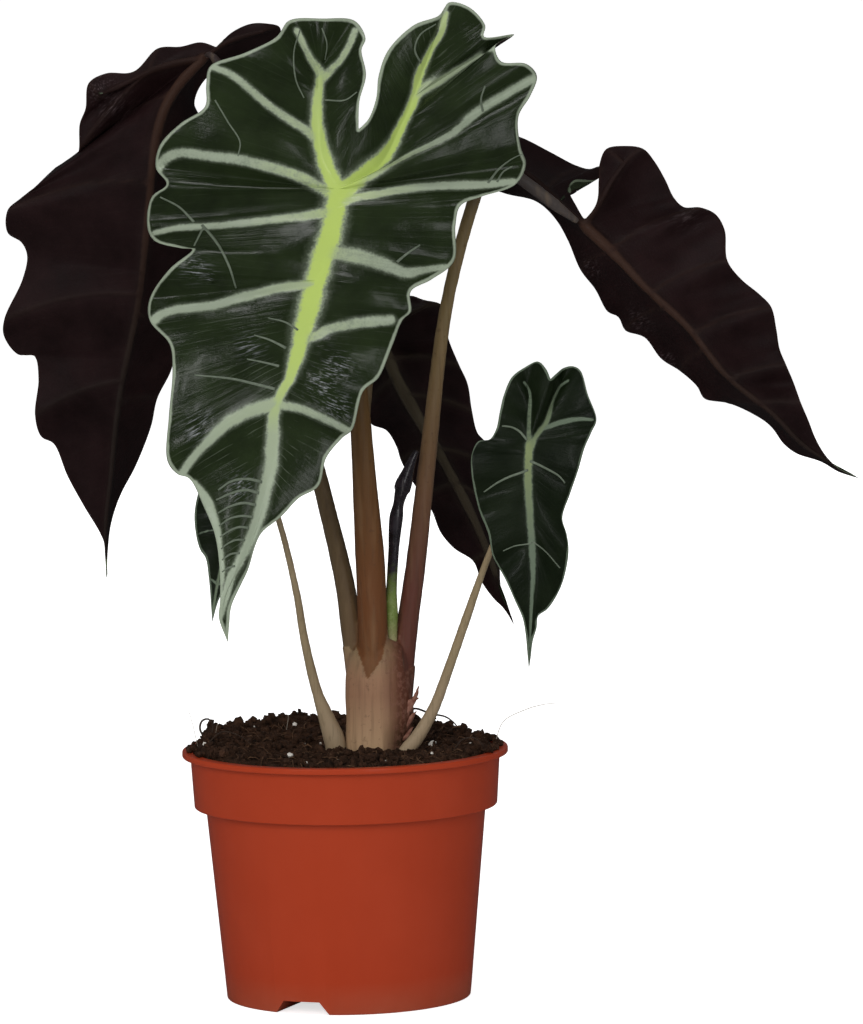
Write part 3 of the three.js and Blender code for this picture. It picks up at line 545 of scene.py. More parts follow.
RIGHT_BLADE = {
    "faces_front": False, "steps": 20, "costa_steps": 6, "puff": 1.8, "notch": [91.5, 27, 283.5],
    "midrib": [[91, 26, 281.5], [98.5, 22, 274.5], [113, 18, 259], [129, 16, 243.5], [142.5, 16, 226],
        [160, 20, 211], [172, 26, 198.5], [192.5, 34, 185.5]],
    "left": {
        "slope": 1.5, "roll": 0, "wave": -1.5,
        "costa": [[91, 26, 281.5], [82.5, 30, 289.5], [71.5, 34, 300], [62, 38, 305]],
        "lobe": [[1, 89, 288], [1, 86, 295], [2, 88, 297.5], [2, 97.5, 297.5], [3, 99, 302, 1],
            [3, 94.5, 301], [4, 89.5, 302.5], [5, 79.5, 308], [6, 69, 313.5], [6, 60, 316, 1], [6, 53, 312],
            [6, 52, 304], [4, 55.5, 296], [3, 63, 292.5], [1, 73, 290.5], [0, 81, 283.5]],
        "side": [[1, 85.5, 275.5], [2, 90, 264.5, 1], [3, 95.5, 257], [4, 100, 248.5], [5, 104, 246.5],
            [6, 106.5, 241.5, 1], [7, 113.5, 239], [8, 119.5, 231], [9, 126.5, 226.5, 1], [10, 132.5, 221],
            [11, 135.5, 216], [13, 144, 214.5, 1], [14, 152, 211], [15, 159.5, 206], [16, 164.5, 199],
            [17, 169.5, 195], [18, 178.5, 192], [19, 185, 188], [20, 192.5, 185.5]],
    },
    "right": {
        "slope": 0.3, "roll": 0, "wave": -2.5,
        "costa": [[91, 26, 281.5], [96.5, 28, 289], [102, 30, 298], [106.5, 32, 304]],
        "lobe": [[2, 96, 289.5], [4, 97, 298], [5, 97.5, 304], [6, 100, 309.5, 1], [6, 107, 310.5],
            [6, 113.5, 309.5, 1], [4, 118, 304.5], [2, 122, 297.5], [0, 125, 291]],
        "side": [[1, 128.5, 287.5], [2, 134.5, 287.5, 1], [3, 140.5, 284.5], [4, 143.5, 279],
            [5, 144, 268, 1], [6, 149, 261], [7, 156, 255], [8, 160, 250.5, 1], [9, 162, 242],
            [10, 163, 235], [11, 165, 229.5, 1], [12, 168, 222.5], [13, 170.5, 215, 1], [14, 173.5, 208],
            [15, 176, 201.5], [17, 179, 196], [18, 182.5, 191.5], [19, 185.5, 189], [20, 192.5, 185.5]],
    },
}
BACK_BLADE = {
    "faces_front": False, "steps": 16, "costa_steps": 4, "puff": 1.5, "notch": [13.5, 39, 247.5],
    "midrib": [[15, 38, 239], [23.5, 34, 220.5], [38, 34, 194.5], [50, 38, 170], [58.5, 44, 146.5],
        [63.5, 48, 131]],
    "left": {
        "slope": 0.9, "roll": 0, "wave": -1.5,
        "costa": [[15, 38, 239], [8.5, 38, 243.5], [2, 40, 247]],
        "lobe": [[2, 7, 252], [4, -1, 252], [4, -4.5, 246, 1], [2, -1, 237.5], [0, 3.5, 228.5, 1]],
        "side": [[1, 8, 221], [2, 10, 214.5, 1], [3, 11, 207.5], [4, 17, 205], [5, 20.5, 199],
            [6, 22, 194, 1], [7, 26, 186], [8, 30.5, 179.5, 1], [9, 33.5, 174], [10, 36.5, 166],
            [11, 41.5, 160], [12, 48.5, 155.5, 1], [13, 51.5, 147.5], [14, 56, 141], [15, 60, 137],
            [16, 63.5, 131]],
    },
    "right": {
        "slope": 0.8, "roll": 0, "wave": -1.5,
        "costa": [[15, 38, 239], [22.5, 40, 247], [31.5, 42, 251.5]],
        "lobe": [[1, 19, 253], [3, 26.5, 255.5], [4, 31.5, 254], [4, 38, 252, 1], [2, 39.5, 243.5],
            [0, 41, 237]],
        "side": [[1, 44.5, 228.5, 1], [2, 47.5, 221.5], [3, 49, 211.5, 1], [4, 51, 203], [5, 54, 199.5],
            [6, 57.5, 189, 1], [7, 57.5, 181], [8, 59, 172.5, 1], [10, 58.5, 163], [12, 58.5, 151, 1],
            [14, 59, 140.5], [15, 61.5, 135.5], [16, 63.5, 131]],
    },
}
SMALL_LEFT_BLADE = {
    "faces_front": True, "steps": 8, "costa_steps": 2, "puff": 1, "notch": [-34.5, -32.5, 201],
    "midrib": [[-36, -34, 196.5], [-39, -38, 182], [-42.5, -42, 166.5], [-45.5, -44, 152],
        [-46.5, -44, 144]],
    "left": {
        "slope": 0.2, "roll": 0, "wave": 1,
        "costa": [[-36, -34, 196.5], [-41, -30, 201.5]],
        "lobe": [[1, -38.5, 206], [2, -43.5, 207, 1], [1, -48, 201], [0, -49.5, 194.5]],
        "side": [[1, -51.5, 188.5, 1], [2, -52.5, 182], [3, -52, 175, 1], [4, -50.5, 170], [5, -48.5, 167],
            [6, -47.5, 160, 1], [7, -47, 154], [8, -46.5, 144]],
    },
    "right": {
        "slope": 0.2, "roll": 0, "wave": 1,
        "costa": [[-36, -34, 196.5], [-31, -30, 201.5]],
        "lobe": [[1, -30, 205], [2, -25.5, 204, 1], [1, -24.5, 197.5], [0, -26, 192]],
        "side": [[1, -28, 187, 1], [2, -30, 182], [3, -32.5, 176.5, 1], [4, -35, 170.5], [5, -37.5, 165.5],
            [6, -40.5, 158.5, 1], [7, -44, 152], [8, -46.5, 144]],
    },
}
SMALL_RIGHT_BLADE = {
    "faces_front": True, "steps": 16, "costa_steps": 4, "puff": 1.2, "notch": [77, -29, 229],
    "midrib": [[69, -32, 207], [68.5, -36, 193], [69.5, -40, 175.5], [69.5, -42, 157.5], [69, -42, 143],
        [67.5, -40, 125]],
    "left": {
        "slope": 0.1, "roll": 0.002, "wave": 1.2,
        "costa": [[69, -32, 207], [70, -28, 217], [68.5, -24, 226]],
        "lobe": [[2, 75.5, 232.5], [4, 72.5, 235], [4, 68, 233, 1], [3, 63, 229.5], [2, 60, 223, 1],
            [1, 58.5, 217.5], [0, 57, 211, 1]],
        "side": [[0, 54.5, 207.5], [1, 50.5, 207], [1, 48, 202], [2, 48, 194], [3, 49.5, 185.5, 1],
            [4, 51, 180.5], [5, 53.5, 174], [6, 55, 166], [7, 57, 162, 1], [8, 59.5, 157.5],
            [10, 63, 149.5], [12, 65.5, 143.5], [13, 66.5, 137.5], [14, 67, 131], [16, 67.5, 125]],
    },
    "right": {
        "slope": 0.06, "roll": 0.002, "wave": 1.2,
        "costa": [[69, -32, 207], [73.5, -29, 211.5], [76.5, -26, 218], [80, -23, 225.5]],
        "lobe": [[2, 79.5, 231], [4, 82, 232.5], [4, 85, 233, 1], [3, 88, 231.5], [2, 90.5, 223],
            [1, 93.5, 214, 1], [0, 91.5, 209.5], [0, 89, 204]],
        "side": [[1, 86.5, 196], [2, 83.5, 187.5, 1], [3, 80.5, 179], [4, 82, 173], [5, 82.5, 167],
            [6, 80.5, 156.5, 1], [7, 77.5, 150.5], [8, 74.5, 146.5], [10, 71, 144], [12, 70.5, 140],
            [13, 69, 135], [14, 68.3, 130], [16, 67.5, 125]],
    },
}
print("blades: 6 outlines")

# %% [markdown]
# A blade's rows sit close enough to draw its veins, which are not a texture: every point of the
# blade knows its distance to the nearest vein. The two halves share their feet along the midrib,
# so welding the points that coincide joins them, and the two sides of each lobe, into one sheet.

# %% From an outline to rows of points
FOOT_SHARES = 4  # feet between two whole steps of a rib
FULL_RIB_REACH = 30
FULL_WAVE_REACH = 20
SWELL_BETWEEN_RIBS = 1.4


def stations_of(half, notch, costa_steps, steps):
    """The margin points of a half with the rib they start from, from the notch to the tip."""
    stations = [{"on": "costa", "step": 0, "rib": 0, "margin": notch}]
    for part, on, count in (("lobe", "costa", costa_steps), ("side", "midrib", steps)):
        for entry in half[part]:
            step, x, z = entry[:3]
            rib = len(entry) > 3
            foot = evenly(half["costa"] if on == "costa" else half["midrib"], [step / count])[0]
            reach = math.hypot(x - foot[0], z - foot[2])
            wave = (half["wave"] if rib else -half["wave"]) * min(1, reach / FULL_WAVE_REACH)
            y = foot[1] + half["slope"] * reach + half["roll"] * reach ** 2 + wave
            stations.append({"on": on, "step": step, "rib": rib, "margin": [x, y, z]})
    return stations


def rows_of(stations, spacing):
    """Where each row starts (which rib, which step) and where on the margin it ends."""
    margins = [station["margin"] for station in stations]
    rows = [("costa", 0.0, 0.0)]
    for index, (here, after) in enumerate(zip(stations, stations[1:])):
        start = here["step"] if here["on"] == after["on"] else 0
        length = math.dist(margins[index], margins[index + 1])
        count = max(math.ceil(length / spacing), abs(after["step"] - start) * FOOT_SHARES, 1)
        for k in range(1, count + 1):
            step = start + (after["step"] - start) * k / count
            rows.append((after["on"], round(step * FOOT_SHARES) / FOOT_SHARES, index + k / count))
    return rows


def half_points(blade, side, shares, spacing):
    """Points of one half by row and share, the rows' places along the margin, and its ribs."""
    half = dict(blade[side], midrib=blade["midrib"])
    stations = stations_of(half, blade["notch"], blade["costa_steps"], blade["steps"])
    rows = rows_of(stations, spacing)
    places = np.array([place for _, _, place in rows])
    margin = spline([station["margin"] for station in stations], places)
    on_costa = np.array([on == "costa" for on, _, _ in rows])
    steps = np.array([step for _, step, _ in rows])
    feet = np.where(on_costa[:, None],
                    evenly(half["costa"], np.minimum(steps / blade["costa_steps"], 1)),
                    evenly(half["midrib"], steps / blade["steps"]))
    ribs = [index for index, station in enumerate(stations) if station["rib"]]
    ends = np.array([0, *ribs, len(stations) - 1, len(stations)])
    after = np.searchsorted(ends, places, side="right")
    ribness = 0.5 + 0.5 * np.cos(math.tau * (places - ends[after - 1]) / (ends[after] - ends[after - 1]))
    width = np.minimum(1, np.linalg.norm(margin - feet, axis=1) / FULL_RIB_REACH)
    points = feet[:, None] * (1 - shares[None, :, None]) + margin[:, None] * shares[None, :, None]
    up = -1 if blade["faces_front"] else 1
    swell = np.sin(math.pi * shares)[None, :] * (width * (SWELL_BETWEEN_RIBS - ribness))[:, None]
    points[:, :, 1] += up * blade["puff"] * swell
    lines = [(rows[row][1], feet[row], margin[row])
             for row in (int(np.argmin(abs(places - rib))) for rib in ribs)]
    return points, lines


def across_shares(columns):
    """Shares from rib to margin, with two more close to the margin to round its edge."""
    return np.concatenate([np.linspace(0, 0.975, columns), [0.99, 1]])


for side in ("left", "right"):
    print("front blade,", side, "rows:", len(half_points(FRONT_BLADE, side, across_shares(8), 2)[0]))

# %% [markdown]
# `create_grid` makes each half as a flat net, whose points then move to their places. It comes
# out row by row, so the net's own numbers say where each point belongs, and a UV map keeps them
# for the finest veins. The net of the left half is turned round, so that both halves show the
# same side.

# %% One sheet from two nets
CM = 0.1
SAME_FOOT = 0.002  # mm, within which the two halves' points are one
SMOOTHINGS = 4  # enough to take away the creases between rows that share a foot


def add_half(bm, points, shares, flip):
    """A net over the rows of one half, with a UV map that follows its rows."""
    rows, columns = points.shape[0], points.shape[1]
    made = bmesh.ops.create_grid(bm, x_segments=columns - 1, y_segments=rows - 1, size=1)["verts"]
    middle = points[:, columns // 2]
    run = np.concatenate([[0], np.cumsum(np.linalg.norm(np.diff(middle, axis=0), axis=1))]) * CM
    layer = bm.loops.layers.uv["fan"]
    for index, vert in enumerate(made):
        row, column = divmod(index, columns)
        vert.co = points[row, column]
        for loop in vert.link_loops:
            loop[layer].uv = (run[row], shares[column])
    if flip:
        bmesh.ops.reverse_faces(bm, faces=list({face for vert in made for face in vert.link_faces}))


def smoothed(bm, verts, rounds, factor=0.5):
    """Draws each point towards its neighbours a few times."""
    for _ in range(rounds):
        bmesh.ops.smooth_vert(bm, verts=verts, factor=factor,
                              use_axis_x=True, use_axis_y=True, use_axis_z=True)


def blade_sheet(blade, columns, spacing):
    """The whole blade as one open sheet whose faces look to its top side, and its rib lines."""
    bm = bmesh.new()
    bm.loops.layers.uv.new("fan")
    shares = across_shares(columns)
    ribs = []
    for side in ("left", "right"):
        points, lines = half_points(blade, side, shares, spacing)
        add_half(bm, points, shares, flip=(side == "left") != blade["faces_front"])
        ribs += lines
    bmesh.ops.remove_doubles(bm, verts=bm.verts, dist=SAME_FOOT)
    bmesh.ops.dissolve_degenerate(bm, edges=bm.edges, dist=WELD)
    smoothed(bm, [vert for vert in bm.verts if not vert.is_boundary], SMOOTHINGS)
    bm.normal_update()
    return bm, ribs


# %% [markdown]
# ## Veins
# The veins of the two leaves that show their top side are drawn as lines over the image,
# and dropped onto the sheet along the camera's rays. The other leaves' veins follow their ribs,
# bowed a little away from the tip, as they leave the midrib at a wide angle and bend.

# %% Vein lines
FRONT_VEINS = [
    # points in the image, half widths in mm and how yellow, both from start to end, and how faint
    ([(338, 191), (334, 216), (329, 239), (323, 257), (317, 280), (310, 305), (303, 332), (296, 359),
      (288, 382), (282, 391), (277, 403), (274, 416), (273, 434), (272, 451), (271, 466), (268, 480),
      (264, 494), (260, 512), (254, 530), (247, 546), (238, 564), (231, 578), (224, 600), (219, 615)],
     [4.2, 4.2, 4.2, 4.2, 4.1, 3.7, 2.8, 1.7, 2.0, 2.3, 2.4, 2.3, 2.0, 1.6, 1.4, 1.5],
     [1, 1, 1, 1, 0.95, 0.9, 0.6, 0.1, 0.05, 0, 0, 0, 0], 0),
    ([(338, 195), (337, 190), (328, 170), (320, 140), (317, 120), (320, 80)], [3.4, 3.1, 2.5, 1.9],
     [1, 0.9, 0.8, 0.6], 0),
    ([(320, 82), (321, 75), (309, 57), (297, 31)], [2.0, 1.5, 1.2], [0.4, 0.1], 0.75),
    ([(320, 82), (331, 70), (341, 60), (349, 46), (355, 31)], [2.0, 1.5, 1.2], [0.4, 0.1], 0.75),
    ([(338, 197), (350, 186), (373, 166), (384, 156), (399, 131), (413, 103), (420, 72), (431, 50),
      (441, 34), (445, 14)], [3.6, 3.2, 2.4, 2.0, 1.8, 1.5], [1, 1, 0.9, 0.8, 0.4], 0),
    ([(313, 137), (304, 129), (288, 119), (267, 104), (248, 88), (231, 75), (212, 67)],
     [1.6, 1.6, 1.5, 1.2], [0.2, 0], 0.7),
    ([(330, 193), (320, 188), (300, 177), (270, 167), (240, 160), (200, 155), (180, 153), (165, 159),
      (158, 170)], [2.0, 1.8, 1.7, 1.7, 1.6], [0.5, 0, 0], 0.75),
    ([(328, 213), (319, 214), (283, 219), (247, 223), (220, 226), (194, 227), (172, 229), (156, 233)],
     [2.0, 1.8, 1.8, 1.6, 1.5], [0.3, 0, 0], 0.7),
    ([(313, 284), (304, 285), (276, 289), (254, 295), (236, 299), (217, 305), (194, 308), (176, 310),
      (161, 315), (155, 320)], [1.7, 1.9, 2.1, 2.1, 1.9], [0.2, 0, 0], 0),
    ([(275, 404), (265, 407), (247, 413), (229, 423), (215, 435), (201, 450), (190, 462), (182, 474)],
     [2.6, 2.6, 2.5, 2.1, 1.8], [0.1, 0], 0),
    ([(416, 95), (425, 88), (450, 74), (475, 59), (495, 48), (510, 38)],
     [1.9, 2.2, 1.9, 1.2], [0.2, 0], 0.35),
    ([(346, 192), (354, 184), (373, 174), (401, 160), (451, 134), (480, 111), (510, 92), (533, 79)],
     [1.8, 1.6, 1.9, 2.1, 1.8], [0.4, 0, 0], 0.7),
    ([(345, 202), (356, 198), (380, 194), (410, 189), (440, 186), (480, 185), (513, 182)],
     [1.8, 1.8, 2.0, 2.0, 1.4], [0.4, 0, 0], 0.6),
    ([(328, 252), (340, 254), (354, 256), (376, 262), (394, 269), (404, 273), (420, 271), (446, 267)],
     [2.4, 2.9, 3.1, 2.3, 1.6, 1.2], [0.2, 0, 0], 0.75),
    ([(309, 338), (319, 335), (327, 330), (345, 326), (372, 322), (390, 320), (408, 323)],
     [1.8, 1.9, 2.0, 1.8], [0.2, 0], 0.75),
    ([(278, 405), (288, 406), (301, 409), (319, 417), (333, 424), (347, 431)], [1.6, 1.5, 1.7, 1.8],
     [0.1, 0], 0.7),
    ([(194, 484), (208, 501), (215, 523), (218, 541), (220, 560), (221, 580)],
     [1.3, 1.6, 1.5], [0, 0], 0.6),
]
SMALL_RIGHT_VEINS = [
    ([(529, 446), (528, 472), (529, 502), (531, 529), (532, 545), (533, 574), (532, 594), (531, 614),
      (530, 646)], [1.5, 1.5, 1.3, 1.2, 0.8, 0.6, 0.4], [0.9, 0.4, 0, 0, 0], 0.4),
    ([(529, 448), (529, 421), (530, 393), (528, 388), (524, 383)], [0.9, 0.7, 0.6], [0.5, 0], 0.85),
    ([(530, 448), (539, 432), (547, 421), (553, 399), (560, 387), (568, 381)], [1.3, 1.0, 0.8, 0.6],
     [0.5, 0], 0.5),
    ([(545, 428), (562, 422), (582, 419), (592, 420)], [0.9, 0.9, 0.6], [0, 0], 0.55),
]
FRONT_VEINLETS = [
    # points in the image and radii in mm, from start to end
    ([(202, 225), (210, 234), (219, 246), (229, 266), (236, 288)], [0.55, 0.5, 0.35]),
    ([(160, 197), (179, 207), (194, 222)], [0.3, 0.5]),
    ([(203, 228), (194, 246)], [0.5, 0.3]),
    ([(397, 262), (408, 253), (420, 245)], [0.55, 0.3]),
    ([(286, 348), (270, 340), (254, 335)], [0.55, 0.25]),
    ([(279, 366), (262, 362), (247, 359)], [0.5, 0.25]),
    ([(275, 389), (255, 384), (233, 379), (194, 375)], [0.6, 0.45, 0.25]),
    ([(298, 330), (285, 322), (268, 318)], [0.45, 0.25]),
    ([(262, 482), (248, 479), (232, 481), (218, 490)], [0.6, 0.5, 0.3]),
    ([(259, 493), (246, 490), (232, 493), (216, 500)], [0.6, 0.5, 0.3]),
    ([(256, 505), (244, 503), (231, 506), (218, 513)], [0.55, 0.45, 0.3]),
    ([(253, 517), (241, 516), (229, 519), (219, 526)], [0.5, 0.4, 0.25]),
    ([(249, 528), (239, 527), (229, 531), (220, 537)], [0.5, 0.4, 0.25]),
    ([(245, 540), (236, 540), (227, 544), (221, 549)], [0.45, 0.35, 0.25]),
    ([(240, 553), (231, 554), (222, 560)], [0.45, 0.25]),
    ([(235, 566), (228, 568), (222, 572)], [0.4, 0.25]),
    ([(488, 183), (500, 168), (520, 155), (541, 152)], [0.5, 0.35, 0.25]),
    ([(497, 182), (503, 172), (513, 166)], [0.4, 0.25]),
    ([(483, 112), (481, 100), (485, 86)], [0.5, 0.3]),
    ([(300, 30), (294, 52), (296, 80), (304, 98)], [0.25, 0.3, 0.25]),
    ([(322, 28), (327, 44), (325, 60)], [0.3, 0.25]),
    ([(421, 63), (415, 50), (420, 35), (436, 24)], [0.4, 0.3, 0.25]),
    ([(325, 100), (345, 100), (357, 92)], [0.35, 0.25]),
    ([(215, 100), (228, 122), (240, 142), (238, 156)], [0.3, 0.25]),
]
SMALL_RIGHT_VEINLETS = [
    ([(527, 440), (519, 431), (511, 427), (502, 426)], [0.5, 0.3]),
    ([(530, 461), (535, 463), (549, 470), (559, 476), (565, 483)], [0.5, 0.4, 0.25]),
    ([(528, 470), (523, 472), (509, 477), (497, 483), (484, 492)], [0.5, 0.4, 0.25]),
    ([(532, 543), (528, 544), (515, 546), (503, 551)], [0.3, 0.2]),
    ([(532, 541), (545, 551), (560, 568)], [0.3, 0.2]),
]
RIB_BOW = 0.07
SAMPLE_STEP = 0.6  # mm between two samples of a vein
FAR_IN_FRONT = -2000


def camera_ray(pixel):
    """The camera's place and its ray through a pixel."""
    return EYE, photo_ray(*pixel)


def front_ray(point):
    """A level ray from far in front, towards the point's own x and z."""
    return Vector((point[0], FAR_IN_FRONT, point[2])), Vector((0, 1, 0))


def dropped(tree, line, ray):
    """The points where the rays of a line's own points meet the sheet."""
    hits = [tree.ray_cast(*ray(point))[0] for point in line]
    return [hit[:] for hit in hits if hit]


def dropped_veins(tree, table, ray):
    """Veins on the sheet, each as close samples, their half widths and warmth, and its faintness."""
    veins = []
    for line, widths, warmth, faintness in table:
        hits = dropped(tree, line, ray)
        if len(hits) > 1:
            length = sum(math.dist(a, b) for a, b in zip(hits, hits[1:]))
            shares = np.linspace(0, 1, max(4, round(length / SAMPLE_STEP)))
            veins.append((evenly(hits, shares), ramp(widths, shares), ramp(warmth, shares), faintness))
    return veins


def rib_veins(tree, blade, ribs, midrib_widths, rib_widths, warmth):
    """Veins along the blade's own ribs: the midrib, the two costae and a line to each rib end."""
    tip = np.array(blade["midrib"][-1])
    midrib = evenly(blade["midrib"], np.linspace(0, 0.99, 24))
    lines = [(midrib, midrib_widths, [warmth, 0.4 * warmth], 0)]
    for side in ("left", "right"):
        costa = evenly(blade[side]["costa"], np.linspace(0, 1, 8))
        lines.append((costa, [midrib_widths[0] * 0.6, rib_widths[0]], [0.4 * warmth, 0], 0.6))
    for _, foot, margin in ribs:
        away = foot - tip
        reach = np.linalg.norm(margin - foot)
        bow = away / np.linalg.norm(away) * RIB_BOW * reach
        shares = np.linspace(0, 0.98, 12)
        line = [foot + (margin - foot) * t + bow * math.sin(math.pi * t) for t in shares]
        lines.append((line, rib_widths, [0.2 * warmth, 0], 0))
    return dropped_veins(tree, lines, front_ray)


print("veins drawn on the front blade:", len(FRONT_VEINS))

# %% What each point of a blade knows
BLEND = 0.05  # how softly one vein's width and warmth pass into another's
AT_ONCE = 40  # samples that are measured in one go, to spare memory
FAR = 1e3


def nearest_sample(points, samples, sizes):
    """For each point the distance to its nearest sample, over that sample's size, and its number."""
    share = np.full(len(points), FAR)
    number = np.zeros(len(points), int)
    for start in range(0, len(samples), AT_ONCE):
        gap = np.linalg.norm(points[:, None] - samples[None, start:start + AT_ONCE], axis=2)
        gap = gap / sizes[None, start:start + AT_ONCE]
        nearest = gap.argmin(axis=1)
        smallest = gap[np.arange(len(points)), nearest]
        closer = smallest < share
        share[closer] = smallest[closer]
        number[closer] = start + nearest[closer]
    return share, number


def vein_field(points, veins):
    """For each point the distance to its nearest vein in half widths, that half width, warmth."""
    best = np.full(len(points), FAR)
    totals = np.zeros((3, len(points)))
    for samples, widths, warms, faintness in veins:
        share, number = nearest_sample(points, samples, widths)
        share = np.maximum(share, faintness)
        weight = 1 / (share ** 2 + BLEND) ** 2
        totals += weight * np.array([np.ones(len(points)), widths[number], warms[number]])
        best = np.minimum(best, share)
    return best, totals[1] / totals[0], totals[2] / totals[0]


def margin_distance(bm, points):
    """How far each point lies from the blade's margin, in mm."""
    rim = np.array([vert.co[:] for vert in bm.verts if vert.is_boundary])
    return nearest_sample(points, rim, np.ones(len(rim)))[0]


# %% [markdown]
# A real blade is about half a millimetre thick, so the sheet gets a second side. Both sides keep
# the margin's points, which closes the shell. Beneath, the ribs stand out as rounded cords, and
# above they lie in shallow grooves. A low, slow noise takes the last stiffness out of the sheet.

# %% A blade with two sides
HALF_THICKNESS = 0.24
EDGE_ROUNDING = 0.8  # mm from the margin where the full thickness is reached
GROOVE = 0.18
GROOVE_WIDTH = 1.3  # in half widths of the vein
RIB_CAP = 1.7  # mm, the most that a rib stands out
RIB_SECTION = 0.7  # the power that rounds a rib
RIBLESS = 0.2  # mm of the margin
RIB_EASE = 4  # mm from the margin where the ribs reach their full height
WAVE_LENGTHS = (14, 6)  # mm, of the slow and the quicker noise
WAVE_HEIGHT = 0.3
WAVE_EASE = 2.5  # mm from the margin where noise and grooves reach their full height
FOLD_LENGTH = 4.2
FOLD_SHARPNESS = 3
FELT = 0.02  # nearness to a spot from which its folds are felt
FAR_FROM_VEINS = 50  # half widths
SAME_RIM = 0.004  # mm, within which the two sides' points are one


def wrinkles(points, spots):
    """Sharp little folds round the given spots, in mm, and how near each point is to one."""
    depth = np.zeros(len(points))
    crumpled = np.zeros(len(points))
    for centre, radius, height in spots:
        near = np.exp(-(np.linalg.norm(points - np.array(centre), axis=1) / radius) ** 2)
        drift = Vector((3, 7, centre[0]))
        for index in np.nonzero(near > FELT)[0]:
            fold = 1 - abs(noise.noise(Vector(points[index]) / FOLD_LENGTH + drift)) * FOLD_SHARPNESS
            depth[index] += height * near[index] * fold
        crumpled = np.maximum(crumpled, near)
    return depth, crumpled


def thicken(bm, veins, spots, junction, rise, seed):
    """Gives the sheet its two sides, its relief and the numbers that its finish reads."""
    layers = [bm.verts.layers.float.new(name) for name in ("vein", "warm", "edge", "reach", "crumple")]
    verts = list(bm.verts)
    bm.normal_update()
    points = np.array([vert.co[:] for vert in verts])
    normals = np.array([vert.normal[:] for vert in verts])
    share, width, warm = vein_field(points, veins)
    edge = margin_distance(bm, points)
    drift = Vector((seed * 13.7, seed * 5.1, 0))
    slow, quick = WAVE_LENGTHS
    waves = np.array([noise.noise(vert.co / slow + drift) + 0.5 * noise.noise(vert.co / quick + drift)
                      for vert in verts])
    inside = np.clip(edge / WAVE_EASE, 0, 1)
    folds, crumpled = wrinkles(points, spots)
    points = points + normals * ((waves * WAVE_HEIGHT + folds) * inside)[:, None]
    full = HALF_THICKNESS * np.clip(edge / EDGE_ROUNDING, 0, 1) ** 0.5
    above = full - GROOVE * np.exp(-(share / GROOVE_WIDTH) ** 2) * inside
    ridge = np.clip(1 - share ** 2, 0, None) ** RIB_SECTION * np.clip(edge / RIB_EASE, 0.25, 1)
    ridge = ridge * (edge > RIBLESS)
    below = full + np.minimum(rise * width, RIB_CAP) * ridge
    reach = np.linalg.norm(points - np.array(junction), axis=1)
    for vert, *values in zip(verts, share.clip(0, FAR_FROM_VEINS), warm, edge, reach, crumpled):
        for layer, value in zip(layers, values):
            vert[layer] = value
    copied = bmesh.ops.duplicate(bm, geom=bm.verts[:] + bm.edges[:] + bm.faces[:])
    twin = copied["vert_map"]
    beneath = [item for item in copied["geom"] if isinstance(item, bmesh.types.BMFace)]
    bmesh.ops.reverse_faces(bm, faces=beneath)
    for face in beneath:
        face.material_index = 1
    for vert, point, normal, up, down in zip(verts, points, normals, above, below):
        vert.co = point + normal * up
        twin[vert].co = point - normal * down
    rim = [vert for vert in bm.verts if vert.is_boundary]
    bmesh.ops.remove_doubles(bm, verts=rim, dist=SAME_RIM)


def blade_piece(name, blade, materials, columns, spacing, rise, seed, seen=None, ribbed=None, crumples=()):
    """A finished blade for its plain solid, with veins as seen, or along its ribs."""
    bm, ribs = blade_sheet(blade, columns, spacing)
    tree = BVHTree.FromBMesh(bm)
    veins = dropped_veins(tree, seen, camera_ray) if seen else rib_veins(tree, blade, ribs, *ribbed)
    spots = [(dropped(tree, [pixel], camera_ray)[0], radius, height) for pixel, radius, height in crumples]
    thicken(bm, veins, spots, blade["midrib"][0], rise, seed)
    print(name, "open edges:", sum(not edge.is_manifold for edge in bm.edges))
    surface = BVHTree.FromBMesh(bm)
    slot = "leaf_upper_green" if blade["faces_front"] else "leaf_beneath_maroon"
    finish_piece(f"leaf_{name}_fine", bm, materials, slot, f"leaf_blade_{name}")
    return surface


# %% [markdown]
# The thinnest veins are finer than the mesh of a blade, and a mask would draw them as a row of
# beads. They are cords of their own instead, dropped onto the finished blade, half sunk into it
# and pressed flat.

# %% Thin veins
VEINLET_STEP = 3  # pixels between two points that are dropped
FLATNESS = 0.35  # height of a cord over its width, so that it never comes out underneath


def veinlets(name, surface, table, material):
    """Thin cords along lines seen in the image, sunk into the blade's top side."""
    bm = bmesh.new()
    for line, radii in table:
        pixels_long = sum(math.dist(a, b) for a, b in zip(line, line[1:]))
        pixels = evenly(line, np.linspace(0, 1, round(pixels_long / VEINLET_STEP)))
        tube(bm, dropped(surface, pixels, camera_ray), radii, sides=8, spacing=0.7)
    for vert in bm.verts:
        place, normal = surface.ray_cast(EYE, vert.co - EYE)[:2]
        if place:
            vert.co -= normal * (1 - FLATNESS) * (vert.co - place).dot(normal)
    finish_piece(name, bm, [material], "leaf_upper_green")


# %% [markdown]
# ## Leaf finishes
# The top of a grown leaf is a nearly black green with a waxy gloss, under which pale veins glow:
# yellow-green at the leaf stalk, grey-green further out. Underneath it is maroon. The veins are
# masks from the numbers on the blade's points, so they keep to the leaf from every side.

# %% Leaf effects
def crease_lines(tree, density, length):
    """Creases that run towards the margin, from 0 to 1, and fade out at the ribs."""
    fan, _, share = fan_of(tree)
    creases = noisy(tree, stretched(tree, fan, (density, length, 1.0)), 1.0, 4, 0.6)
    return scaled(tree, creases, ranged(tree, share, 0.05, 0.25))


def painted_glints(tree, tone, strength, shade):
    """The tone with painted glints: pale streaks painted on the folds where a blade is crumpled."""
    marks = ranged(tree, crease_lines(tree, 16.0, 7.0), 0.52, 0.66)
    return washed(tree, tone, scaled(tree, marks, attribute(tree, "crumple")), strength, shade)


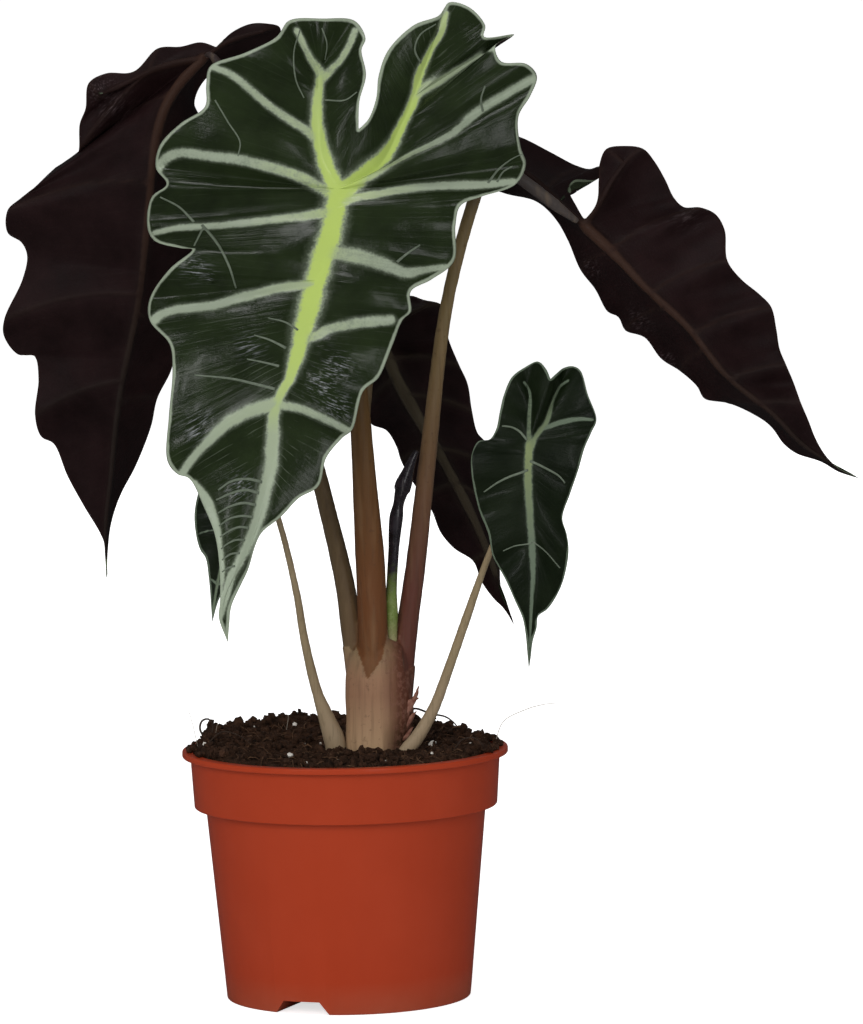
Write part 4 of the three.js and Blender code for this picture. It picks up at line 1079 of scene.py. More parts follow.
# %% Leaf materials
def leaf_top(name, dark, green, vein, vein_warm, gloss, comb, halo, specular, coat, margin):
    """The upper side: mottled green, veins with a soft edge, fine side veins, a pale margin."""
    material, tree, output = new_material(name)
    blotches = mottled(tree, 70, 1.8)
    grain = mottled(tree, 900, 1.5)
    veins = use_group(tree, VEINS, Softness=0.34, Halo=1.9, Feather=0.5)
    fine = use_group(tree, FINE_VEINS, Spacing=0.16, Width=0.16)["Mask"]
    far = ranged(tree, attribute(tree, "reach"), 45, 90, 0.1, 1)
    tone = blend_colour(tree, blotches, dark, green)
    tone = washed(tree, tone, grain, 0.25, green)
    tone = washed(tree, tone, veins["Halo"], halo, blend_colour(tree, 0.5, green, vein))
    tone = washed(tree, tone, scaled(tree, fine, comb), far, vein)
    warm = scaled(tree, attribute(tree, "warm"), veins["Core"])
    tone = blend_colour(tree, veins["Mask"], tone, blend_colour(tree, warm, vein, vein_warm))
    wavering = calc(tree, "MULTIPLY_ADD", blotches, -0.9, attribute(tree, "edge"))
    tone = washed(tree, tone, ranged(tree, wavering, margin * 0.4, margin, 1, 0), 0.85, vein)
    # Painted glints: pale grey streaks laid on the crumpled spots of the blade.
    tone = painted_glints(tree, tone, 0.75, colour(0.3, 0.31, 0.33))
    rough = ranged(tree, blotches, 0, 1, gloss - 0.04, gloss + 0.07)
    creased = calc(tree, "MULTIPLY_ADD", crease_lines(tree, 5.0, 1.3), 5.0, grain)
    ribbed = calc(tree, "SUBTRACT", creased, scaled(tree, veins["Mask"], 2.0))
    surface_of(tree, output, tone, rough, ribbed, 0.3, 0.0002,
               Coat_Weight=coat, Coat_Roughness=0.1, Specular_IOR_Level=specular)
    return material


def leaf_beneath(name, dark, lit, vein, vein_warm, gloss):
    """The lower side: maroon with faint ribs, netted by finer veins, duller than the top."""
    material, tree, output = new_material(name)
    blotches = mottled(tree, 60, 2)
    grain = mottled(tree, 1100, 1.6)
    veins = use_group(tree, VEINS, Softness=0.45, Halo=4.0, Feather=0.3)
    fine = use_group(tree, FINE_VEINS, Spacing=0.2, Width=0.2)["Mask"]
    tone = blend_colour(tree, blotches, dark, lit)
    tone = washed(tree, tone, fine, 0.12, vein)
    tone = washed(tree, tone, veins["Halo"], 0.1, vein)
    near = ranged(tree, attribute(tree, "reach"), 60, 130, 1, 0)
    strength = calc(tree, "MAXIMUM", attribute(tree, "warm"), 0.1)
    tone = washed(tree, tone, veins["Mask"], strength, blend_colour(tree, near, vein, vein_warm))
    rim = ranged(tree, attribute(tree, "edge"), 0.3, 0.9, 1, 0)
    tone = washed(tree, tone, rim, 0.2, vein_warm)
    # Painted sheen: faint pinkish-grey streaks laid on the crumpled spots of the blade.
    tone = painted_glints(tree, tone, 0.4, colour(0.13, 0.095, 0.1))
    rough = ranged(tree, blotches, 0, 1, gloss - 0.05, gloss + 0.1)
    surface_of(tree, output, tone, rough, grain, 0.3, 0.0003, Specular_IOR_Level=0.1)
    return material


def plain_material(name, below, above, scale, rough):
    """Two mottled tones with a matt grain."""
    material, tree, output = new_material(name)
    blotch = mottled(tree, scale, 2)
    tone = blend_colour(tree, blotch, below, above)
    roughness = ranged(tree, blotch, 0, 1, rough, rough - 0.15)
    surface_of(tree, output, tone, roughness, blotch, 0.4, 0.0002, Specular_IOR_Level=0.3)
    return material


# %% The leaves' own finishes
GREENS = (colour(0.006, 0.009, 0.004), colour(0.015, 0.024, 0.008))
YOUNG_GREENS = (colour(0.002, 0.004, 0.0015), colour(0.007, 0.012, 0.004))
MAROONS = (colour(0.0062, 0.0027, 0.0028), colour(0.0155, 0.0065, 0.0068))
YOUNG_MAROONS = (colour(0.03, 0.02, 0.015), colour(0.06, 0.035, 0.028))
GROWN_TOP = leaf_top("leaf_top_dark", *GREENS, colour(0.27, 0.315, 0.235), colour(0.37, 0.475, 0.115),
                     gloss=0.16, comb=0.25, halo=0.3, specular=0.2, coat=0.09, margin=0.95)
REAR_TOP = leaf_top("leaf_top_rear", *GREENS, colour(0.12, 0.15, 0.1), colour(0.2, 0.25, 0.09),
                    gloss=0.22, comb=0.15, halo=0.25, specular=0.24, coat=0.1, margin=0.4)
YOUNG_TOP = leaf_top("leaf_top_young", *YOUNG_GREENS, colour(0.1, 0.13, 0.09), colour(0.18, 0.22, 0.09),
                     gloss=0.36, comb=0.05, halo=0.12, specular=0.17, coat=0.04, margin=0.35)
GROWN_BENEATH = leaf_beneath("leaf_beneath_maroon", *MAROONS,
                             colour(0.022, 0.018, 0.014), colour(0.042, 0.021, 0.014), gloss=0.42)
BACK_BENEATH = leaf_beneath("leaf_beneath_back", *MAROONS,
                            colour(0.042, 0.039, 0.022), colour(0.055, 0.045, 0.028), gloss=0.42)
YOUNG_BENEATH = leaf_beneath("leaf_beneath_young", *YOUNG_MAROONS,
                             colour(0.12, 0.1, 0.06), colour(0.16, 0.13, 0.07), gloss=0.45)
VEINLET = plain_material("thin_vein", colour(0.075, 0.095, 0.065), colour(0.13, 0.155, 0.115), 600, 0.5)
print("leaf finishes: 7")

# %% Front leaf
# Spots where the blade is crumpled into small folds; the finish also paints glints there.
FRONT_CRUMPLES = [
    # pixel, radius in mm, height of the folds in mm
    ((196, 268), 4, 0.7), ((212, 277), 2.5, 0.5), ((338, 368), 5, 0.6), ((322, 384), 5, 0.6),
    ((240, 488), 4.5, 0.7), ((198, 425), 5, 0.3), ((336, 408), 5, 0.3), ((250, 345), 4, 0.15),
]
front = blade_piece("front", FRONT_BLADE, [GROWN_TOP, GROWN_BENEATH], columns=54, spacing=1.0,
                    rise=0.5, seed=1, seen=FRONT_VEINS, crumples=FRONT_CRUMPLES)
veinlets("leaf_front_veinlets", front, FRONT_VEINLETS, VEINLET)

# %% Left, right and back leaves
# Spots of small folds on the left and right blades, where the finish also paints a faint sheen.
LEFT_CRUMPLES = [((104, 90), 6, 0.3), ((116, 106), 7, 0.3)]
RIGHT_CRUMPLES = [((690, 215), 5, 0.3), ((592, 268), 4, 0.2), ((640, 320), 5, 0.2), ((668, 362), 4, 0.2)]
# half widths of the midrib and of the other ribs, in mm from start to end, and warmth
THIN_RIBS = ([2.2, 1.3, 1.0, 0.8, 0.6], [0.75, 0.65], 0.8)
BROAD_RIBS = ([2.4, 2.2, 1.9, 1.5, 0.9], [0.8, 0.65], 0.9)
YOUNG_RIBS = ([0.8, 0.6, 0.4], [0.45, 0.35], 0.3)
blade_piece("left", LEFT_BLADE, [REAR_TOP, GROWN_BENEATH], columns=30, spacing=1.3,
            rise=0.7, seed=2, ribbed=THIN_RIBS, crumples=LEFT_CRUMPLES)
blade_piece("right", RIGHT_BLADE, [REAR_TOP, GROWN_BENEATH], columns=28, spacing=1.5,
            rise=0.7, seed=3, ribbed=THIN_RIBS, crumples=RIGHT_CRUMPLES)
blade_piece("back", BACK_BLADE, [REAR_TOP, BACK_BENEATH], columns=26, spacing=1.2,
            rise=0.7, seed=4, ribbed=BROAD_RIBS)

# %% The two small leaves
blade_piece("small_left", SMALL_LEFT_BLADE, [YOUNG_TOP, YOUNG_BENEATH], columns=14, spacing=0.8,
            rise=0.8, seed=5, ribbed=YOUNG_RIBS)
small = blade_piece("small_right", SMALL_RIGHT_BLADE, [YOUNG_TOP, YOUNG_BENEATH], columns=34,
                    spacing=0.62, rise=0.8, seed=6, seen=SMALL_RIGHT_VEINS)
veinlets("leaf_small_right_veinlets", small, SMALL_RIGHT_VEINLETS, VEINLET)

# %% [markdown]
# ## The pot
# A nursery pot is pressed from thin sheet, so it is one turned wall of even thickness, with every
# corner rounded. The profile is drawn in the X-Z plane, its corners are bevelled, and it is spun
# into a shell. The drains are tunnels pressed into the floor: their hoods are joined on and their
# insides are cut out.

# %% Pot profile
POT_HEIGHT = 92
LIP_RADIUS = 60
LIP_HEIGHT = 2.2
COLLAR_TOP = 57
COLLAR_BOTTOM = 55.8
SHOULDER = 71
BODY_TOP = 51.6
FOOT = 45
WALL = 1.4
FLOOR_THICKNESS = 1.6
CORNER = 0.45
POT_STEPS = 144
SEAM_WELD = 1e-4  # mm, where a spin closes on itself


def inner_radius(height):
    """The inside of the tapered body at a height."""
    return FOOT - WALL + (BODY_TOP - FOOT) / SHOULDER * height


POT_PROFILE = [
    (0, 0), (FOOT, 0), (BODY_TOP, SHOULDER), (COLLAR_BOTTOM, SHOULDER),
    (COLLAR_TOP, POT_HEIGHT - LIP_HEIGHT), (LIP_RADIUS, POT_HEIGHT - LIP_HEIGHT),
    (LIP_RADIUS, POT_HEIGHT), (COLLAR_TOP - WALL, POT_HEIGHT),
    (COLLAR_BOTTOM - WALL, SHOULDER + WALL), (inner_radius(SHOULDER - WALL), SHOULDER - WALL),
    (inner_radius(FLOOR_THICKNESS), FLOOR_THICKNESS), (0, FLOOR_THICKNESS),
]


def spun(bm, steps):
    """Spins a bmesh's line of edges round the upright axis into one surface."""
    bmesh.ops.spin(bm, geom=bm.verts[:] + bm.edges[:], cent=(0, 0, 0), axis=(0, 0, 1),
                   angle=math.tau, steps=steps, use_merge=True, use_duplicate=False)
    bmesh.ops.remove_doubles(bm, verts=bm.verts, dist=SEAM_WELD)


def turned(profile, corner):
    """A profile of radius and height with rounded corners, spun into a closed shell."""
    bm = bmesh.new()
    verts = [bm.verts.new((radius, 0, height)) for radius, height in profile]
    for pair in zip(verts, verts[1:]):
        bm.edges.new(pair)
    bmesh.ops.bevel(bm, geom=verts[1:-1], offset=corner, segments=3, profile=0.5,
                    affect="VERTICES", material=-1)
    spun(bm, POT_STEPS)
    bmesh.ops.recalc_face_normals(bm, faces=bm.faces)
    return bm


# %% Drain tunnels
DRAINS = 3
DRAIN_TURN = math.radians(22)
DRAIN_HALF = 10.5
DRAIN_ROOF_HALF = 7
DRAIN_HEIGHT = 4.7
DRAIN_REACH = 20
DRAIN_HOLE = (3.5, 32)  # radius, and reach from the pot's middle


def turn_of_drain(number):
    """The turn round the pot's axis that brings a front drain to its own place."""
    return Matrix.Rotation(math.tau * number / DRAINS - DRAIN_TURN, 3, "Z")


def drain_block(bm, number, growth, inner, outer):
    """The space of one drain: a low block with slanted sides, from inner to outer reach."""
    half = DRAIN_HALF + growth
    roof_half = DRAIN_ROOF_HALF + growth
    roof = DRAIN_HEIGHT + growth
    outline = [(-half, -WALL), (half, -WALL), (half, 0), (roof_half, roof), (-roof_half, roof), (-half, 0)]
    verts = [bm.verts.new((x, -inner, z)) for x, z in outline]
    face = bm.faces.new(verts)
    pushed = bmesh.ops.extrude_face_region(bm, geom=[face])["geom"]
    moved = [item for item in pushed if isinstance(item, bmesh.types.BMVert)]
    bmesh.ops.translate(bm, vec=(0, inner - outer, 0), verts=moved)
    bmesh.ops.rotate(bm, matrix=turn_of_drain(number), verts=verts + moved)
    faces = list({side for vert in verts + moved for side in vert.link_faces})
    bmesh.ops.recalc_face_normals(bm, faces=faces)


def drain_hole(bm, number):
    """The round hole through the roof of one drain."""
    radius, reach = DRAIN_HOLE
    made = bmesh.ops.create_cone(bm, cap_ends=True, segments=32, radius1=radius, radius2=radius,
                                 depth=4 * DRAIN_HEIGHT)["verts"]
    bmesh.ops.translate(bm, vec=(0, -reach, 0), verts=made)
    bmesh.ops.rotate(bm, matrix=turn_of_drain(number), verts=made)


def all_drains(name, shape, *measures):
    """One helper object with the given shape at every drain."""
    bm = bmesh.new()
    for number in range(DRAINS):
        shape(bm, number, *measures)
    return new_object(name, bm)


def combined(body, tool, operation):
    """Applies one Boolean to the body and removes the tool."""
    modifier = body.modifiers.new("join", "BOOLEAN")
    modifier.operation = operation
    modifier.solver = "EXACT"
    modifier.object = tool
    evaluated = body.evaluated_get(bpy.context.evaluated_depsgraph_get())
    mesh = bpy.data.meshes.new_from_object(evaluated)
    body.modifiers.clear()
    body.data = mesh
    bpy.data.objects.remove(tool)
    return body


# %% Pot body
PAST_FOOT = FOOT + 5  # the tunnels' tools reach out through the wall
ROOM_CORNER = 0.01
CUT_WELD = 1e-3  # mm, between corners that a cut leaves side by side
SHARP_ANGLE = 0.6  # radians, above which an edge stays sharp


def pot_body():
    """The wall with its hoods joined on, and its tunnels and holes cut out."""
    room_top = 4 * DRAIN_HEIGHT
    room = turned([(0, 0), (inner_radius(0) + WALL / 2, 0),
                   (inner_radius(room_top) + WALL / 2, room_top), (0, room_top)], ROOM_CORNER)
    shell = new_object("pot_shell", turned(POT_PROFILE, CORNER))
    hoods = all_drains("hoods", drain_block, WALL, DRAIN_REACH - WALL, PAST_FOOT)
    hoods = combined(hoods, new_object("room", room), "INTERSECT")
    shell = combined(shell, hoods, "UNION")
    shell = combined(shell, all_drains("tunnels", drain_block, 0, DRAIN_REACH, PAST_FOOT), "DIFFERENCE")
    shell = combined(shell, all_drains("holes", drain_hole), "DIFFERENCE")
    bm = bmesh.new()
    bm.from_mesh(shell.data)
    bpy.data.objects.remove(shell)
    bmesh.ops.remove_doubles(bm, verts=bm.verts, dist=CUT_WELD)
    for edge in bm.edges:
        if edge.is_manifold and edge.calc_face_angle() > SHARP_ANGLE:
            edge.smooth = False
    return bm


def pot_material():
    """Satin terracotta-coloured plastic: flow marks, fine grain, scuffing and a little dust."""
    material, tree, output = new_material("pot_plastic")
    cloud = mottled(tree, 28, 1.2)
    tone = blend_colour(tree, cloud, colour(0.31, 0.033, 0.009), colour(0.37, 0.042, 0.012))
    tone = washed(tree, tone, streaked(tree, 160, 0.08), 0.2, colour(0.25, 0.023, 0.007))
    low = ranged(tree, place_of(tree, "Z"), 0, 0.012, 0.5, 0)
    tone = washed(tree, tone, low, cloud, colour(0.28, 0.13, 0.08))
    rough = ranged(tree, cloud, 0.2, 0.8, 0.27, 0.36)
    surface_of(tree, output, tone, rough, mottled(tree, 2600, 1.6), 0.12, 0.0001, Specular_IOR_Level=0.2)
    return material


finish_piece("pot_fine", pot_body(), [pot_material()], "pot_terracotta_plastic", "pot")

# %% [markdown]
# ## Peat
# Potting soil is peat crumbs of every size, with roots and white perlite among them. A crust
# follows the soil's own heap with a rough surface, and thousands of crumbs are strewn on it, each
# a small lumpy ball. Their draws are seeded, so the heap is the same each time.

# %% Soil surface
SOIL_EDGE = 88.5
SOIL_LEVEL = 91
SOIL_HEAP = 6.5
SOIL_RADIUS = 55.0


def held(value):
    """The value, held between 0 and 1."""
    return min(1, max(0, value))


def soil_height(x, y):
    """The height of the heap, as on the plain solid, without its crumbs."""
    share = math.hypot(x, y) / SOIL_RADIUS
    lumps = (math.sin(0.31 * x + 1.3) * math.cos(0.27 * y) + 0.7 * math.sin(0.53 * x - 0.41 * y)
             + 0.5 * math.cos(0.83 * y + 0.19 * x))
    rise = SOIL_HEAP * held(0.3 + 0.0125 * y - 0.0075 * x) * min(1, share) ** 1.5 + 0.8 * lumps
    rim = max(0, (share - 0.94) / 0.06)
    return (SOIL_LEVEL + rise) * (1 - rim) + SOIL_EDGE * rim if share > 0.94 else SOIL_LEVEL + rise


def peat_material():
    """Nearly black crumbs with brown fibre and paler dry specks."""
    material, tree, output = new_material("peat")
    clods = mottled(tree, 260, 2.6)
    grain = mottled(tree, 1900, 2)
    tone = blend_colour(tree, clods, colour(0.007, 0.0034, 0.0017), colour(0.062, 0.029, 0.016))
    tone = washed(tree, tone, ranged(tree, grain, 0.74, 0.95), 0.7, colour(0.2, 0.12, 0.07))
    rough = ranged(tree, clods, 0, 1, 0.95, 0.8)
    surface_of(tree, output, tone, rough, grain, 0.8, 0.0006, Specular_IOR_Level=0.2)
    return material


# %% Crust
CRUST_RINGS = 46
CRUST_SIDES = 190
CRUST_THICKNESS = 1.2
CRUST_LIFT = 0.4  # above the plain soil
CRUST_LUMPS = (1.1, 4.5)  # height and length, in mm
CRUST_GRAINS = (0.7, 1.9)
BANK = 2.6  # how much the crust rises against the pot's wall, most at its two sides


def crust_height(x, y):
    """The heap's height with a rough surface, and banked up against the pot's wall."""
    share = math.hypot(x, y) / SOIL_RADIUS
    lump, lump_length = CRUST_LUMPS
    grain, grain_length = CRUST_GRAINS
    rough = lump * noise.noise(Vector((x, y, 0)) / lump_length)
    rough += grain * noise.noise(Vector((x, y, 9)) / grain_length)
    at_sides = held((y + 24) / 14) * (1 - 0.7 * held((y - 8) / 25))
    bank = at_sides * held((share - 0.72) / 0.2)
    return soil_height(x, y) + CRUST_LIFT + BANK * bank + rough * min(1, (1 - share) * 12)


def crust():
    """A thin rough lid over the soil, closed underneath. The stems pass through it."""
    bm = bmesh.new()
    verts = [bm.verts.new((SOIL_RADIUS * k / CRUST_RINGS, 0, 0)) for k in range(CRUST_RINGS + 1)]
    for pair in zip(verts, verts[1:]):
        bm.edges.new(pair)
    spun(bm, CRUST_SIDES)
    for vert in bm.verts:
        vert.co.z = crust_height(vert.co.x, vert.co.y)
    bmesh.ops.recalc_face_normals(bm, faces=bm.faces)
    if sum(face.normal.z for face in bm.faces) < 0:
        bmesh.ops.reverse_faces(bm, faces=bm.faces)
    below = bmesh.ops.extrude_face_region(bm, geom=bm.faces[:])["geom"]
    lid = [item for item in below if isinstance(item, bmesh.types.BMVert)]
    bmesh.ops.translate(bm, vec=(0, 0, CRUST_THICKNESS), verts=lid)
    bmesh.ops.translate(bm, vec=(0, 0, -CRUST_THICKNESS), verts=bm.verts)
    bmesh.ops.recalc_face_normals(bm, faces=bm.faces)
    return bm


PEAT = peat_material()
soil_node = bpy.data.objects["soil"]
soil_node.data.materials.clear()
soil_node.data.materials.append(PEAT)
CRUST = crust()
CRUST_TREE = BVHTree.FromBMesh(CRUST)
finish_piece("soil_crust", CRUST, [PEAT], "peat_soil")

# %% [markdown]
# Crumbs, perlite and roots lie on the crust. One small ball is copied until there are enough, and
# each copy gets its own place, turn, size and dents. Roots and hairs are thin tubes: the ones that
# stand out in the image start where their first pixel's ray meets the crust.

# %% Strewn grains
CRUMBS = 4096
CRUMB_RADIUS = (0.45, 2.0)
CRUMB_SKEW = 5.5  # the higher it is, the fewer crumbs are large
CRUMB_REACH = 53.2
DENTS = (0.72, 1.22)  # each corner of a ball, in or out
STRETCH = (0.6, 1.25)  # each axis of a ball, shorter or longer
LIP_CRUMBS = 260  # soil that spilled onto the pot's lip, at its sides and its far side
LIP_CRUMB_TURN = 0.4
LIP_CRUMB_REACH = (54.8, 58.0)
LIP_CRUMB_RADIUS = (0.5, 1.25)
STEM_FEET = [(11.5, 0, 12.5), (-3.5, -2.5, 5), (20.5, -12.5, 4)]  # x, y and radius kept free


def strewn(places, sizes, seed):
    """A dented ball at each place, a third of it sunk. One ball is doubled until there are enough."""
    rng = np.random.default_rng(seed)
    bm = bmesh.new()
    ball = bmesh.ops.create_icosphere(bm, subdivisions=1, radius=1)["verts"]
    shape = np.array([vert.co[:] for vert in ball])
    per_ball = len(ball)
    while len(bm.verts) < per_ball * len(places):
        bmesh.ops.duplicate(bm, geom=bm.verts[:] + bm.edges[:] + bm.faces[:])
    bm.verts.ensure_lookup_table()
    bmesh.ops.delete(bm, geom=bm.verts[per_ball * len(places):], context="VERTS")
    turned_balls = []
    for place, size in zip(places, sizes):
        axis = Vector(rng.normal(size=3)).normalized()
        turn = np.array(Matrix.Rotation(rng.uniform(0, math.tau), 3, axis))
        dents = rng.uniform(*DENTS, (per_ball, 1)) * rng.uniform(*STRETCH, 3)
        turned_balls.append(np.array(place) + size * (shape * dents) @ turn.T + (0, 0, size / 3))
    for vert, point in zip(bm.verts, np.vstack(turned_balls)):
        vert.co = point
    return bm


def on_crust(x, y):
    """The crust's height at a spot."""
    hit = CRUST_TREE.ray_cast(Vector((x, y, 150)), Vector((0, 0, -1)))[0]
    return hit.z if hit else soil_height(x, y)


def soil_place(rng, reach):
    """A random spot on the crust that no stem takes."""
    while True:
        x, y = rng.uniform(-reach, reach, 2)
        free = all(math.hypot(x - a, y - b) > radius for a, b, radius in STEM_FEET)
        if math.hypot(x, y) < reach and free:
            return x, y, on_crust(x, y)


PIXELS_DOWN = 60  # how far below its own pixel a foot may be looked for


def spot_on_crust(pixel):
    """Where the camera's ray through a pixel, or through the next ones below, meets the crust."""
    for lower in range(PIXELS_DOWN):
        hit = CRUST_TREE.ray_cast(*camera_ray((pixel[0], pixel[1] + lower)))[0]
        if hit:
            return hit


rng = np.random.default_rng(11)
crumb_places = [soil_place(rng, CRUMB_REACH) for _ in range(CRUMBS)]
smallest, largest = CRUMB_RADIUS
crumb_sizes = smallest + (largest - smallest) * rng.uniform(0, 1, CRUMBS) ** CRUMB_SKEW
lip_turns = rng.uniform(-LIP_CRUMB_TURN, math.pi + LIP_CRUMB_TURN, LIP_CRUMBS)
lip_reaches = rng.uniform(*LIP_CRUMB_REACH, LIP_CRUMBS)
lip_sizes = rng.uniform(*LIP_CRUMB_RADIUS, LIP_CRUMBS)
crumb_places += [(reach * math.cos(turn), reach * math.sin(turn), POT_HEIGHT + 0.5 * size)
                 for turn, reach, size in zip(lip_turns, lip_reaches, lip_sizes)]
crumbs = strewn(crumb_places, [*crumb_sizes, *lip_sizes], 12)
finish_piece("peat_crumbs", crumbs, [PEAT], "peat_soil", smooth=False)

# %% Perlite
PERLITE_REACH = 51
SEEN_PERLITE = [
    # pixel and radius in mm
    ((432, 747), 1.9), ((432, 755), 1.2), ((289, 757), 1.6), ((304, 746), 1.1), ((295, 726), 1.0),
    ((205, 745), 0.9), ((361, 753), 0.8), ((470, 744), 0.7), ((248, 741), 0.7),
]
MORE_PERLITE = 24
MORE_PERLITE_RADIUS = (0.3, 0.8)
perlite_places = [spot_on_crust(pixel)[:] for pixel, _ in SEEN_PERLITE]
perlite_places += [soil_place(rng, PERLITE_REACH) for _ in range(MORE_PERLITE)]
perlite_sizes = [radius for _, radius in SEEN_PERLITE]
perlite_sizes += list(rng.uniform(*MORE_PERLITE_RADIUS, MORE_PERLITE))
PERLITE = plain_material("perlite", colour(0.5, 0.45, 0.38), colour(0.8, 0.78, 0.74), 1500, 0.9)
perlite = strewn(perlite_places, perlite_sizes, 13)
finish_piece("perlite_grains", perlite, [PERLITE], "peat_soil", smooth=False)

# %% Fibres, roots and hairs
FIBRES = 240
FIBRE_RADIUS = 0.13
FIBRE_THICKNESS = (0.6, 1.6)  # shares of that radius
FIBRE_REACH = 50
FIBRE_STEP = 2.0  # mm from point to point, four points in all
FIBRE_ARCH = (0.2, 1.8)
FIBRE_LIFT = 0.3  # above the crust
FIBRE_BEND = 0.6  # radians from step to step
ROOTS = [
    # pixels, and radius in mm
    ([(206, 738), (200, 729), (202, 721), (208, 719), (213, 724), (212, 733)], 0.4),
    ([(409, 722), (413, 709), (432, 714), (446, 717), (456, 725), (460, 733)], 0.4),
    ([(207, 742), (222, 732), (240, 736), (252, 745)], 0.25),
    ([(452, 752), (462, 740), (474, 738), (484, 746)], 0.3),
]
HAIRS = [
    ([(494, 736), (503, 722), (522, 711), (546, 704), (583, 703)], 0.13),
    ([(198, 744), (192, 722), (188, 710), (180, 699)], 0.1),
    ([(286, 732), (288, 713), (283, 703)], 0.08),
    ([(215, 735), (218, 722), (222, 714)], 0.08),
]


ROOT_DEPTH = 0.8  # mm that a foot is sunk into the crust


def upright_line(pixels):
    """Points in mm behind the pixels: the first on the crust, the others as far away as it is."""
    start = spot_on_crust(pixels[0])
    points = [start - Vector((0, 0, ROOT_DEPTH))]
    for pixel in pixels[1:]:
        ray = photo_ray(*pixel)
        points.append(EYE + ray * ((start.y - EYE.y) / ray.y))
    return [point[:] for point in points]


def fibre_line(rng):
    """A short bent thread that lies on the crust at a random spot."""
    x, y, _ = soil_place(rng, FIBRE_REACH)
    heading = rng.uniform(0, math.tau)
    points = []
    for share in np.linspace(0, 1, 4):
        arch = rng.uniform(*FIBRE_ARCH) * math.sin(math.pi * share)
        points.append((x, y, on_crust(x, y) + FIBRE_LIFT + arch))
        heading += rng.normal(0, FIBRE_BEND)
        x += FIBRE_STEP * math.cos(heading)
        y += FIBRE_STEP * math.sin(heading)
    return points


def threads(lines, sides, spacing):
    """One bmesh with a thin tube along each line of (points, radius)."""
    bm = bmesh.new()
    for points, radius in lines:
        tube(bm, points, [radius, radius, radius * 0.5], sides=sides, spacing=spacing)
    return bm


fibre_lines = [(fibre_line(rng), FIBRE_RADIUS * rng.uniform(*FIBRE_THICKNESS)) for _ in range(FIBRES)]
root_lines = [(upright_line(pixels), radius) for pixels, radius in ROOTS]
hair_lines = [(upright_line(pixels), radius) for pixels, radius in HAIRS]
FIBRE = plain_material("peat_fibre", colour(0.03, 0.014, 0.008), colour(0.16, 0.085, 0.045), 300, 0.8)
ROOT = plain_material("dark_root", colour(0.012, 0.007, 0.005), colour(0.05, 0.03, 0.02), 400, 0.6)
HAIR = plain_material("root_hair", colour(0.25, 0.2, 0.15), colour(0.45, 0.4, 0.33), 300, 0.7)
finish_piece("peat_fibres", threads(fibre_lines, 5, 2.2), [FIBRE], "peat_soil")
finish_piece("dark_roots", threads(root_lines, 10, 0.8), [ROOT], "peat_soil")
finish_piece("root_hairs", threads(hair_lines, 6, 1.2), [HAIR], "peat_soil")

# %% [markdown]
# ## Stalks
# The main plant is one piece: a sheathed base that opens in a V and four leaf stalks that grow
# out of it. Tubes along listed lines give the stalks, a stack of ovals gives the base, and a
# voxel remesh melts them into one skin, as the real tissue is one. The lines and radii are those
# of the plain solids.

# %% Stalk lines
FRONT_STALK = {
    "points": [[11, -1, 108], [11, -3, 132], [10.5, -6, 159.5], [9, -10, 189], [7.5, -13, 220],
               [5, -16, 255], [2.8, -17, 283], [2, -17.5, 295], [1.5, -20, 300.5], [1, -24, 298.5]],
    "radii": [5.2, 5.5, 5.4, 4.4, 3.6, 3.2, 2.9, 2.6],
}
LEFT_STALK = {
    "points": [[7.5, 1, 106], [3.5, 2, 131.5], [1, 4, 151.5], [-6.5, 12, 184.5], [-15, 20, 219],
               [-25, 30, 270], [-35.5, 36, 318], [-41, 37.5, 339], [-46, 39, 346.5], [-49, 44, 345]],
    "radii": [4.2, 3.8, 3.2, 2.9, 2.6, 2.4, 2.3, 2.2],
}
RIGHT_STALK = {
    "points": [[20, 2, 106], [24, 4, 138.5], [27, 5, 158], [32, 7, 197], [40, 10, 254],
               [50, 12, 290.5], [54.5, 13, 301.5], [60, 15, 304.5], [66, 17, 301], [82, 21, 288.5],
               [91, 26, 281.5]],
    "radii": [4.2, 4, 3.6, 3.2, 2.7, 2.4, 2.4, 2.3, 2.3],
}
BACK_STALK = {
    "points": [[13.5, 5, 108], [11, 8, 130.5], [10.5, 12, 157.5], [9, 18, 186.5], [8.5, 24, 208],
               [11, 29, 230], [13, 32, 238.5], [15, 38, 239]],
    "radii": [3.6, 3.2, 2.9, 2.6, 2.3, 2.2],
}
TRUNK_SECTIONS = [
    # height, middle x, half width, half depth
    [74, 11.5, 7.5, 6.5], [86, 11.5, 10, 8.5], [94, 11.5, 11, 9], [102, 12.8, 11.8, 9.5],
    [112, 12.5, 11.8, 9.5], [121, 12.5, 11.2, 8.8], [128, 12.5, 9.5, 7.5], [132, 12.5, 6, 5],
]
STALKS = {"front": FRONT_STALK, "left": LEFT_STALK, "right": RIGHT_STALK, "back": BACK_STALK}
print("stalks:", list(STALKS))

# %% The body of the main stem
VOXEL = 0.62
MELT_SMOOTHINGS = 3


def trunk_rings(rows=44, sides=64):
    """Oval rings up the sheathed base, with the shallow folds of the leaf sheaths in it."""
    shares = np.linspace(0, len(TRUNK_SECTIONS) - 1, rows)
    heights, middles, widths, depths = spline(TRUNK_SECTIONS, shares).T
    turns = np.linspace(0, math.tau, sides, endpoint=False)
    fold = 1 + 0.018 * np.cos(5 * turns + 0.6) + 0.012 * np.cos(9 * turns)
    x = middles[:, None] + widths[:, None] * np.cos(turns) * fold
    y = depths[:, None] * np.sin(turns) * fold
    z = np.repeat(heights[:, None], sides, axis=1)
    return np.stack([x, y, z], axis=2)


